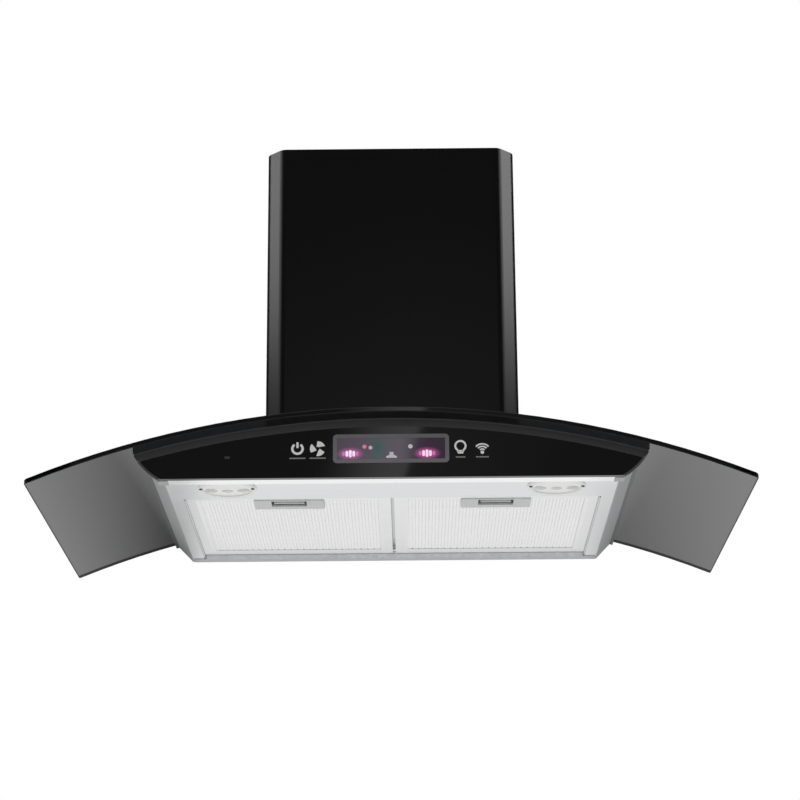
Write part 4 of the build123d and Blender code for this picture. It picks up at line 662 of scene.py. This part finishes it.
white_enamel = moulded("white_enamelled_steel", "#eeeeee", "#f6f6f6", 0.25)
opal_polycarbonate = moulded("opal_polycarbonate", "#fafafa", "#fdfdfd", 0.3)
# Painted shade: the bosses' tone is greyer than the opal disc.
grey_shaded_boss = moulded("polycarbonate_boss_painted_shaded", "#ced0d2", "#dee0e1", 0.08)
blackened_steel = moulded("blackened_steel", "#2a2a2b", "#383839", 0.35)
for side in SIDES:
    coat(white_enamel, f"lamp_housing_{side}")
    disc_low, disc_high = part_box(f"lamp_lens_{side}")
    disc_middle = (disc_low + disc_high) / 2
    disc_radius = (disc_high.x - disc_low.x) / 2
    cover = bmesh.new()
    shares = [k / DISC_STEPS for k in range(DISC_STEPS + 1)]
    profile = [(disc_radius * share, disc_low.z + DISC_CROWN * share**2) for share in shares]
    profile += [(disc_radius, disc_high.z), (0, disc_high.z)]
    turned(cover, profile, Matrix.Translation((disc_middle.x, disc_middle.y, 0)), DISC_SIDES)
    cover_piece = piece(f"lamp_cover_{side}", cover, opal_polycarbonate, "hood")
    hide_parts(f"lamp_lens_{side}")
    bosses = bmesh.new()
    base = disc_low.z + DISC_CROWN
    bends = [pi / 2 * n / BOSS_STEPS for n in range(BOSS_STEPS + 1)]
    profile = [(BOSS_RADIUS * sin(b), base - BOSS_HEIGHT * cos(b)) for b in bends]
    profile += [(BOSS_RADIUS, base + BOSS_SINK), (0, base + BOSS_SINK)]
    for k in (-1, 0, 1):
        middle = (disc_middle.x + k * BOSS_PITCH, disc_middle.y + BOSS_BACK, 0)
        turned(bosses, profile, Matrix.Translation(middle))
    piece(f"lamp_bosses_{side}", bosses, grey_shaded_boss, "hood")
    lamp_screws = bmesh.new()
    profile = [(radius * MM, height * MM) for radius, height in LAMP_SCREW_HEAD]
    for end in (-1, 1):
        spot = (disc_middle.x + end * LAMP_SCREW_REACH, disc_middle.y - LAMP_SCREW_FRONT, disc_low.z)
        turned(lamp_screws, profile, Matrix.Translation(spot), LAMP_SCREW_SIDES)
    piece(f"lamp_screws_{side}", lamp_screws, blackened_steel, "hood")

# Hems of the filter opening: the free edge of each side wall of the stainless panel, folded inward
# and down flat against the wall, so that no raw edge meets a hand.
SIDE_GAP = 2 * MM
HEM_HALF, HEM_GAP = 0.8, 0.05
HEM_TOP, HEM_LOW = -251.0, -258.8
for side, inward in zip(SIDES, (1, -1)):
    frame_low, frame_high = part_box(f"filter_frame_{side}")
    outer = frame_low.x if inward > 0 else frame_high.x
    middle = (outer - inward * SIDE_GAP) / MM + inward * (HEM_HALF + HEM_GAP)
    hem = bmesh.new()
    outline = capsule(middle, HEM_LOW, HEM_TOP, HEM_HALF)
    plate(hem, outline, frame_low.y, frame_high.y - frame_low.y)
    piece(f"opening_hem_{side}", hem, brushed_stainless, "hood")

# Foot of the back sheet: the galvanised sheet is folded forward under the stainless panel's rear
# edge, and a tongue of it is turned up at a slant into the opening, clear of the filters.
FOOT_FLANGE = ((-0.1, -260.05), (-18.1, -260.05), (-18.4, -260.65), (-0.1, -260.65))
FOOT_TONGUE = ((-18.1, -260.05), (-21.3, -255.6), (-21.6, -255.9), (-18.4, -260.65))
FLANGE_HALF, TONGUE_HALF = 286.0, 267.5
back_foot = bmesh.new()
for outline, half in ((FOOT_FLANGE, FLANGE_HALF), (FOOT_TONGUE, TONGUE_HALF)):
    ends = []
    for x in (-half, half):
        ends.append([back_foot.verts.new((x * MM, y * MM, z * MM)) for y, z in outline])
    loft(back_foot, ends)
piece("back_sheet_foot", back_foot, galvanised_steel, "hood")

# Grease filters: channel frames of bare aluminium round layers of expanded aluminium mesh, slit and
# pulled open into diamonds about 9 by 5 mm with tilted strands. Each layer lies a quarter of a diamond
# along from the one below, and the channel's lip is pressed up against the mesh at its sides and rear.
STRAND_WAVE, STRAND_STEP = 9 * MM, 2.5 * MM
STRAND_SWING = STRAND_STEP / 2
STRAND_WIDTH, STRAND_THICKNESS = 1.5 * MM, 0.6 * MM
STRAND_TILT = radians(-28)
LAYER_HEIGHTS = (1.2 * MM, 3.4 * MM, 5.6 * MM)
CHANNEL_BAR, CHANNEL_FIT = 12.0 * MM, 1.1 * MM
LIP_PROFILE = ((0.0, 0.0), (5.0, 1.4), (5.0, 1.6), (0.0, 1.0))
bare_aluminium = brushed("bare_aluminium", "#dcdddd", "#ececec", 0.32, 0.46)


def strand(shape, start, end, zero, middle_y, level, swing):
    """Add one strand between two X ends: a tilted flat strip that zigzags about a line along X."""
    half = STRAND_WAVE / 2
    first, last = int((start - zero) / half) + 1, int((end - zero) / half)
    knees = [zero + half * k for k in range(first, last + 1)]
    sections = []
    for x in [start] + knees + [end]:
        phase = ((x - zero) / half) % 2
        y = middle_y + swing * (1 - 2 * abs(phase - 1))
        corners = []
        for across, through in ((-1, -1), (1, -1), (1, 1), (-1, 1)):
            out, up = across * STRAND_WIDTH / 2, through * STRAND_THICKNESS / 2
            dy = out * cos(STRAND_TILT) - up * sin(STRAND_TILT)
            dz = out * sin(STRAND_TILT) + up * cos(STRAND_TILT)
            corners.append(shape.verts.new((x, y + dy, level + dz)))
        sections.append(corners)
    loft(shape, sections)


for side in SIDES:
    coat(bare_aluminium, f"filter_frame_{side}")
    mesh_low, mesh_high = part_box(f"filter_mesh_{side}")
    latch_low, latch_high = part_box(f"latch_housing_{side}")
    strands = bmesh.new()
    rows = int((mesh_high.y - mesh_low.y) / STRAND_STEP)
    row_step = (mesh_high.y - mesh_low.y) / rows
    for layer, rise in enumerate(LAYER_HEIGHTS):
        for row in range(rows):
            middle_y = mesh_low.y + (row + 0.5) * row_step
            swing = STRAND_SWING * (1 if (row + layer) % 2 else -1)
            runs = [(mesh_low.x, mesh_high.x)]
            if middle_y < latch_high.y + STRAND_STEP:
                runs = [(mesh_low.x, latch_low.x), (latch_high.x, mesh_high.x)]
            zero = mesh_low.x - STRAND_WAVE * (1 + layer / 4)
            for start, end in runs:
                strand(strands, start, end, zero, middle_y, mesh_low.z + rise, swing)
    weave = piece(f"expanded_mesh_{side}", strands, bare_aluminium, f"filter_{side}")
    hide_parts(f"filter_mesh_{side}")
    lip = bmesh.new()
    frame_low, frame_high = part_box(f"filter_frame_{side}")
    rails = []
    for reach, rise in LIP_PROFILE:
        inset = CHANNEL_BAR + reach * MM
        near, far = frame_low.y + CHANNEL_BAR, mesh_high.y + CHANNEL_FIT - inset
        west, east = frame_low.x + inset, frame_high.x - inset
        path = ((west, near), (west, far), (east, far), (east, near))
        rails.append([lip.verts.new((x, y, frame_low.z + rise * MM)) for x, y in path])
    loft(lip, list(zip(*rails)))
    piece(f"filter_lip_{side}", lip, bare_aluminium, f"filter_{side}")

# Latches: housings moulded in light grey ABS, with a slider that a fingertip pulls back. A spring
# coiled from zinc plated wire stands between the two.
SPRING_TURNS, COIL_STEPS, WIRE_SIDES = 8, 20, 8
WIRE_RADIUS = 0.25 * MM
light_grey_abs = moulded("moulded_light_grey_abs", "#c6c7c8", "#d2d3d4", 0.4)
# Painted light: the slider is drawn a little lighter than the housing, lifting the shade of its recess.
slider_abs_painted_lit = moulded("moulded_mid_grey_abs", "#cacbcc", "#d4d5d6", 0.4)
for side in SIDES:
    coat(light_grey_abs, f"latch_housing_{side}")
    coat(slider_abs_painted_lit, f"latch_slider_{side}")
    spring_low, spring_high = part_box(f"latch_spring_{side}")
    middle = (spring_low + spring_high) / 2
    coil_radius = (spring_high.x - spring_low.x) / 2 - WIRE_RADIUS
    length = spring_high.y - spring_low.y - 2 * WIRE_RADIUS
    spring = bmesh.new()
    rings = []
    for k in range(SPRING_TURNS * COIL_STEPS + 1):
        turn = 2 * pi * k / COIL_STEPS
        out = Vector((cos(turn), 0, sin(turn)))
        along = length * k / (SPRING_TURNS * COIL_STEPS) - length / 2
        centre = middle + coil_radius * out + Vector((0, along, 0))
        run = 2 * pi * SPRING_TURNS * coil_radius
        way = Vector((-run * sin(turn), length, run * cos(turn))).normalized()
        aside = way.cross(out)
        angles = [2 * pi * n / WIRE_SIDES for n in range(WIRE_SIDES)]
        points = [centre + WIRE_RADIUS * (cos(a) * out + sin(a) * aside) for a in angles]
        rings.append([spring.verts.new(point) for point in points])
    loft(spring, rings)
    coil = piece(f"coil_spring_{side}", spring, zinc_plate, f"filter_{side}")
    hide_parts(f"latch_spring_{side}")
    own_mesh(coil)

# Panel screws: steel, cold headed into a pan with a cross recess, thread rolled and zinc plated.
# Each stands where a plain screw of the CAD model stands, with its head on the same side.
HEAD_RADIUS, HEAD_HEIGHT, SEAT_ROUND = 3.8 * MM, 2.4 * MM, 0.15 * MM
HEAD_CURVE = ((1.0, 0.2), (1.0, 0.8), (0.95, 1.45), (0.84, 1.95), (0.62, 2.28), (0.34, 2.4), (0, 2.4))
SHANK_RADIUS, SHANK_LENGTH, TIP_SHARE = 2.0 * MM, 6.0 * MM, 0.6
THREAD_PITCH, THREAD_START, THREAD_END, ROOT_SHARE = 0.75 * MM, 0.8, 0.3 * MM, 0.8
SCREW_SIDES = 24
RECESS_REACH, RECESS_HALF, RECESS_DEPTH, RECESS_OPEN = 2.0 * MM, 0.45 * MM, 1.4 * MM, 0.2 * MM
RECESS_FLOOR = (RECESS_REACH * 0.35, RECESS_HALF * 0.6, HEAD_HEIGHT - RECESS_DEPTH)
RECESS_MOUTH = (RECESS_REACH, RECESS_HALF, HEAD_HEIGHT + RECESS_OPEN)
WELD, SAME_LEVEL = 0.01 * MM, 0.05 * MM


def loose_solids(mesh):
    """The corners and the face normals of each separate solid of a mesh, in order."""
    shape = bmesh.new()
    shape.from_mesh(mesh)
    bmesh.ops.remove_doubles(shape, verts=shape.verts, dist=WELD)
    shape.verts.ensure_lookup_table()
    seen, solids = set(), []
    for first in shape.verts:
        if first.index in seen:
            continue
        seen.add(first.index)
        queue = [first]
        for corner in queue:
            for edge in corner.link_edges:
                other = edge.other_vert(corner)
                if other.index not in seen:
                    seen.add(other.index)
                    queue.append(other)
        faces = [face for corner in queue for face in corner.link_faces]
        normals = dict.fromkeys(face.normal.copy().freeze() for face in faces)
        solids.append(([corner.co.copy() for corner in queue], list(normals)))
    shape.free()
    return solids


def head_place(corners, normals):
    """Where a screw's head sits on its seat: the axis is the normal that spans the fewest levels."""
    spread = {}
    for normal in normals:
        levels = {round(corner.dot(normal) / MM, 2) for corner in corners}
        spread[normal] = len(levels)
    axis = min(spread, key=lambda normal: (spread[normal], tuple(normal)))
    heights = [corner.dot(axis) for corner in corners]
    middle = sum(corners, Vector()) / len(corners)
    middle -= axis * middle.dot(axis)
    ends = {}
    for end in (min(heights), max(heights)):
        ring = [c for c, height in zip(corners, heights) if abs(height - end) < SAME_LEVEL]
        ends[end] = max((c - axis * c.dot(axis) - middle).length for c in ring)
    top = max(ends, key=ends.get)
    out = axis if top == max(heights) else -axis
    seat = middle + axis * top - out * HEAD_HEIGHT
    return Matrix.Translation(seat) @ out.to_track_quat("Z", "Y").to_matrix().to_4x4()


root = SHANK_RADIUS * ROOT_SHARE
screw_profile = [(0, -SHANK_LENGTH), (SHANK_RADIUS * TIP_SHARE, -SHANK_LENGTH)]
for k in range(int(SHANK_LENGTH / THREAD_PITCH) - 1):
    height = -SHANK_LENGTH + (k + THREAD_START) * THREAD_PITCH
    screw_profile += [(root, height - THREAD_PITCH / 2), (SHANK_RADIUS, height)]
screw_profile += [(root, -THREAD_END), (root, 0), (HEAD_RADIUS - SEAT_ROUND, 0)]
screw_profile += [(HEAD_RADIUS * share, height * MM) for share, height in HEAD_CURVE]
one_screw = bmesh.new()
turned(one_screw, screw_profile, Matrix.Identity(4), SCREW_SIDES)
bmesh.ops.recalc_face_normals(one_screw, faces=one_screw.faces)
screw_blank = put("one_screw", one_screw)

punch = bmesh.new()
for turn in (0, pi / 2):
    spin = Matrix.Rotation(turn, 4, "Z")
    rows = []
    for reach, half, height in (RECESS_FLOOR, RECESS_MOUTH):
        corners = ((-reach, -half), (reach, -half), (reach, half), (-reach, half))
        rows.append([punch.verts.new(spin @ Vector((x, y, height))) for x, y in corners])
    loft(punch, rows)
bmesh.ops.recalc_face_normals(punch, faces=punch.faces)
punch_tool = put("recess_punch", punch)
recess = screw_blank.modifiers.new("recess", "BOOLEAN")
recess.operation = "DIFFERENCE"
recess.solver = "EXACT"
recess.use_self = True
recess.object = punch_tool
punched = screw_blank.evaluated_get(bpy.context.evaluated_depsgraph_get())
screw_form = bpy.data.meshes.new_from_object(punched)
bpy.data.objects.remove(screw_blank)
bpy.data.objects.remove(punch_tool)

all_screws = bmesh.new()
for corners, normals in loose_solids(nodes["panel_screws"].data):
    placed = screw_form.copy()
    placed.transform(head_place(corners, normals))
    all_screws.from_mesh(placed)
    bpy.data.meshes.remove(placed)
screw_piece = piece("cross_head_screws", all_screws, zinc_plate, "hood")
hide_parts("panel_screws")

# Studio floor: pale and matt, as far below the hood as a kitchen's. It is drawn from above only, so
# that the underside can be seen from below it.
FLOOR_DROP, FLOOR_RADIUS, FLOOR_SIDES, FLOOR_GLOW = 1.5, 9.0, 96, 0.3
floor_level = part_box("underside_panel")[0].z - FLOOR_DROP
floor_shape = bmesh.new()
level = Matrix.Translation((0, 0, floor_level))
bmesh.ops.create_circle(
    floor_shape, cap_ends=True, radius=FLOOR_RADIUS, segments=FLOOR_SIDES, matrix=level
)
floor = put("floor", floor_shape)
pale_floor = blank("pale_matt_floor")
floor_path = add(pale_floor, "LightPath", {})
floor_seen = add(
    pale_floor, "Math", {0: floor_path.outputs["Is Camera Ray"], 1: floor_path.outputs["Is Glossy Ray"]},
    operation="MAXIMUM",
)
floor_glow = add(pale_floor, "Math", {0: floor_seen, 1: FLOOR_GLOW}, operation="MULTIPLY")
floor_shader = add(
    pale_floor,
    "BsdfPrincipled",
    {
        "Base Color": linear("#f0f0ee"),
        "Roughness": 0.9,
        "Emission Color": linear("#ffffff"),
        "Emission Strength": floor_glow,
    },
)
floor_side = add(pale_floor, "NewGeometry", {})
floor_gone = add(pale_floor, "BsdfTransparent", {})
floor_mix = add(
    pale_floor, "MixShader", {0: floor_side.outputs["Backfacing"], 1: floor_shader, 2: floor_gone},
)
add(pale_floor, "OutputMaterial", {"Surface": floor_mix})
floor.data.materials.append(pale_floor)

# Studio surround: white straight on and through glass. In mirrors it is white below the horizon,
# dark above it, as a studio is behind its lamps, and pale again overhead.
world = bpy.data.worlds.new("studio")
bpy.context.scene.world = world
world.use_nodes = True
world.node_tree.nodes.clear()
ray = add(world, "LightPath", {})
direct = add(
    world, "Math", {0: ray.outputs["Is Camera Ray"], 1: ray.outputs["Is Transmission Ray"]},
    operation="MAXIMUM",
)
seen = add(world, "Math", {0: direct, 1: ray.outputs["Is Glossy Ray"]}, operation="MAXIMUM")
toward = add(world, "TexCoord", {})
bearing = add(world, "SeparateXYZ", {"Vector": toward.outputs["Generated"]})
low_white = add(
    world, "MapRange",
    {"Value": bearing.outputs["Z"], "From Min": -0.04, "From Max": 0.1, "To Min": 1.0, "To Max": 0.015},
    interpolation_type="SMOOTHSTEP",
)
ceiling = add(
    world, "MapRange",
    {"Value": bearing.outputs["Z"], "From Min": 0.55, "From Max": 0.85, "To Max": 0.65},
    interpolation_type="SMOOTHSTEP",
)
mirrored = add(world, "Math", {0: low_white, 1: ceiling}, operation="MAXIMUM")
white = add(world, "Math", {0: direct, 1: mirrored}, operation="MAXIMUM")
surround = add(world, "Background", {"Color": linear("#ffffff"), "Strength": white})
daylight = add(world, "Background", {"Color": linear("#ffffff"), "Strength": 0.6})
both = add(world, "MixShader", {0: seen, 1: daylight, 2: surround})
add(world, "OutputWorld", {"Surface": both})

# Reflectors: two cards that only mirrors see. The one behind the hood is dim close to the body, as a
# wall in its shade is. The one in front glows towards a slanted edge, which crosses the front panel.
BACK_Y, BACK_HALF, BACK_TOP = 0.002, 1.6, -0.2
SHADE_START, SHADE_END = 0.275, 0.315
SHADE_TOP, SHADE_DROP = -0.262, 0.18
SHADE_TONE, CLEAR_TONE = 0.82, 1.02
LEFT_SLOPE, LEFT_BASE = -3.96, -1.674
RIGHT_SLOPE, RIGHT_BASE = 1.463, -0.62
DROP_SLOPE = -2.42


def reflector(name, half, y, low, high):
    """An upright card that only glossy rays meet, and its empty material; half below 0 turns it round."""
    card_shape = bmesh.new()
    corners = ((-half, low), (half, low), (half, high), (-half, high))
    card_shape.faces.new([card_shape.verts.new((x, y, z)) for x, z in corners])
    card = put(name, card_shape)
    for rays in ("camera", "diffuse", "transmission", "volume_scatter", "shadow"):
        setattr(card, f"visible_{rays}", False)
    paint = blank(name)
    card.data.materials.append(paint)
    return paint


back_paint = reflector("back_reflector", BACK_HALF, BACK_Y, floor_level, BACK_TOP)
place = add(back_paint, "TexCoord", {}).outputs["Object"]
back_axes = add(back_paint, "SeparateXYZ", {"Vector": place})
left_ramp = add(
    back_paint, "Math", {0: back_axes.outputs["X"], 1: LEFT_SLOPE, 2: LEFT_BASE},
    operation="MULTIPLY_ADD",
)
right_ramp = add(
    back_paint, "Math", {0: back_axes.outputs["X"], 1: RIGHT_SLOPE, 2: RIGHT_BASE},
    operation="MULTIPLY_ADD",
)
outward_ramp = add(back_paint, "Math", {0: left_ramp, 1: right_ramp}, operation="MAXIMUM")
side_tone = add(
    back_paint, "Math", {0: back_axes.outputs["Z"], 1: DROP_SLOPE, 2: outward_ramp},
    operation="MULTIPLY_ADD", use_clamp=True,
)
low_tone = add(
    back_paint, "MapRange",
    {"Value": back_axes.outputs["Z"], "From Min": SHADE_TOP, "From Max": SHADE_TOP - SHADE_DROP,
     "To Min": SHADE_TONE, "To Max": CLEAR_TONE},
)
from_centre = add(back_paint, "Math", {0: back_axes.outputs["X"]}, operation="ABSOLUTE")
past_body = add(
    back_paint, "MapRange", {"Value": from_centre, "From Min": SHADE_START, "From Max": SHADE_END},
)
back_tone = add(back_paint, "Mix", {0: past_body, 2: low_tone, 3: side_tone})
back_glow = add(back_paint, "Emission", {"Strength": back_tone})
add(back_paint, "OutputMaterial", {"Surface": back_glow})

FRONT_Y, FRONT_HALF, FRONT_LOW, FRONT_HIGH = -4.5, 1.0, 0.3, 2.3
EDGE_SLANT, EDGE_FOOT, EDGE_BLUR = 0.317, -0.27, 0.004
GLOW_FAR, GLOW_NEAR, GLOW_TONE = 0.29, 0.03, 1.0
FADE_REACH, FADE_TONE, DIM_TONE = 0.5, 0.23, 0.12
TOP_START, TOP_END, TOP_TONE = 1.08, 1.7, 0.03
front_paint = reflector("front_reflector", -FRONT_HALF, FRONT_Y, FRONT_LOW, FRONT_HIGH)
place = add(front_paint, "TexCoord", {}).outputs["Object"]
slant = add(front_paint, "VectorMath", {0: place, 1: (1, 0, -EDGE_SLANT)}, operation="DOT_PRODUCT")
left_tone = add(
    front_paint, "MapRange",
    {"Value": slant, "From Min": EDGE_FOOT - GLOW_FAR, "From Max": EDGE_FOOT - GLOW_NEAR,
     "To Min": DIM_TONE, "To Max": GLOW_TONE},
    interpolation_type="SMOOTHSTEP",
)
right_tone = add(
    front_paint, "MapRange",
    {"Value": slant, "From Min": EDGE_FOOT, "From Max": EDGE_FOOT + FADE_REACH,
     "To Min": FADE_TONE, "To Max": DIM_TONE},
)
past_edge = add(
    front_paint, "MapRange",
    {"Value": slant, "From Min": EDGE_FOOT - EDGE_BLUR, "From Max": EDGE_FOOT + EDGE_BLUR},
)
edge_tone = add(front_paint, "Mix", {0: past_edge, 2: left_tone, 3: right_tone})
front_axes = add(front_paint, "SeparateXYZ", {"Vector": place})
upward_fade = add(
    front_paint, "MapRange",
    {"Value": front_axes.outputs["Z"], "From Min": TOP_START, "From Max": TOP_END, "To Max": TOP_TONE,
     "To Min": 1.0},
)
front_tone = add(front_paint, "Math", {0: edge_tone, 1: upward_fade}, operation="MULTIPLY")
front_glow = add(front_paint, "Emission", {"Strength": front_tone})
add(front_paint, "OutputMaterial", {"Surface": front_glow})

# Studio lights: a tall softbox high at each side, which draws the bright line on the chimney's
# bends, a dimmer one before it, which fades the line inward, and a broad one above. All of them
# are hidden from the camera.
LIGHTS = (
    ("softbox_right", (2.4, -0.1, 1.42), (0.7, 1.25), 11.0),
    ("softbox_left", (-2.4, -0.1, 1.42), (0.7, 1.25), 9.0),
    ("softbox_front_right", (2.2, -0.9, 1.3), (1.1, 1.2), 6.4),
    ("softbox_front_left", (-2.2, -0.9, 1.3), (1.1, 1.2), 5.3),
    ("softbox_above", (-0.9, -1.1, 3.0), (1.6, 1.2), 32.0),
)
for name, spot, size, power in LIGHTS:
    lamp = bpy.data.lights.new(name, "AREA")
    lamp.shape = "RECTANGLE"
    lamp.size, lamp.size_y = size
    lamp.energy = power
    lamp_stand = bpy.data.objects.new(name, lamp)
    lamp_stand.location = spot
    lamp_stand.rotation_euler = (-Vector(spot)).to_track_quat("-Z", "Y").to_euler()
    lamp_stand.visible_camera = False
    bpy.context.scene.collection.objects.link(lamp_stand)

# Camera: in front of the hood and well below it, looking up, as the photograph was taken. Its place,
# its turns in radians and its lens come from a fit to the photograph's edges.
EYE = Vector((23.68, -3248.95, -1061.64)) * MM
PITCH, YAW, ROLL = 0.31042, -0.00438, 0.00739
LENS, SENSOR = 105.045, 36.0
forward = Vector((sin(YAW) * cos(PITCH), cos(YAW) * cos(PITCH), sin(PITCH)))
level = Vector((cos(YAW), -sin(YAW), 0))
down = forward.cross(level)
across = cos(ROLL) * level + sin(ROLL) * down
upward = sin(ROLL) * level - cos(ROLL) * down
camera_data = bpy.data.cameras.new("camera")
camera_data.lens = LENS
camera_data.sensor_width = SENSOR
camera = bpy.data.objects.new("camera", camera_data)
turn = Matrix((across, upward, -forward)).transposed()
camera.matrix_world = Matrix.Translation(EYE) @ turn.to_4x4()
bpy.context.scene.collection.objects.link(camera)
bpy.context.scene.camera = camera
bpy.context.scene.view_settings.view_transform = "Standard"
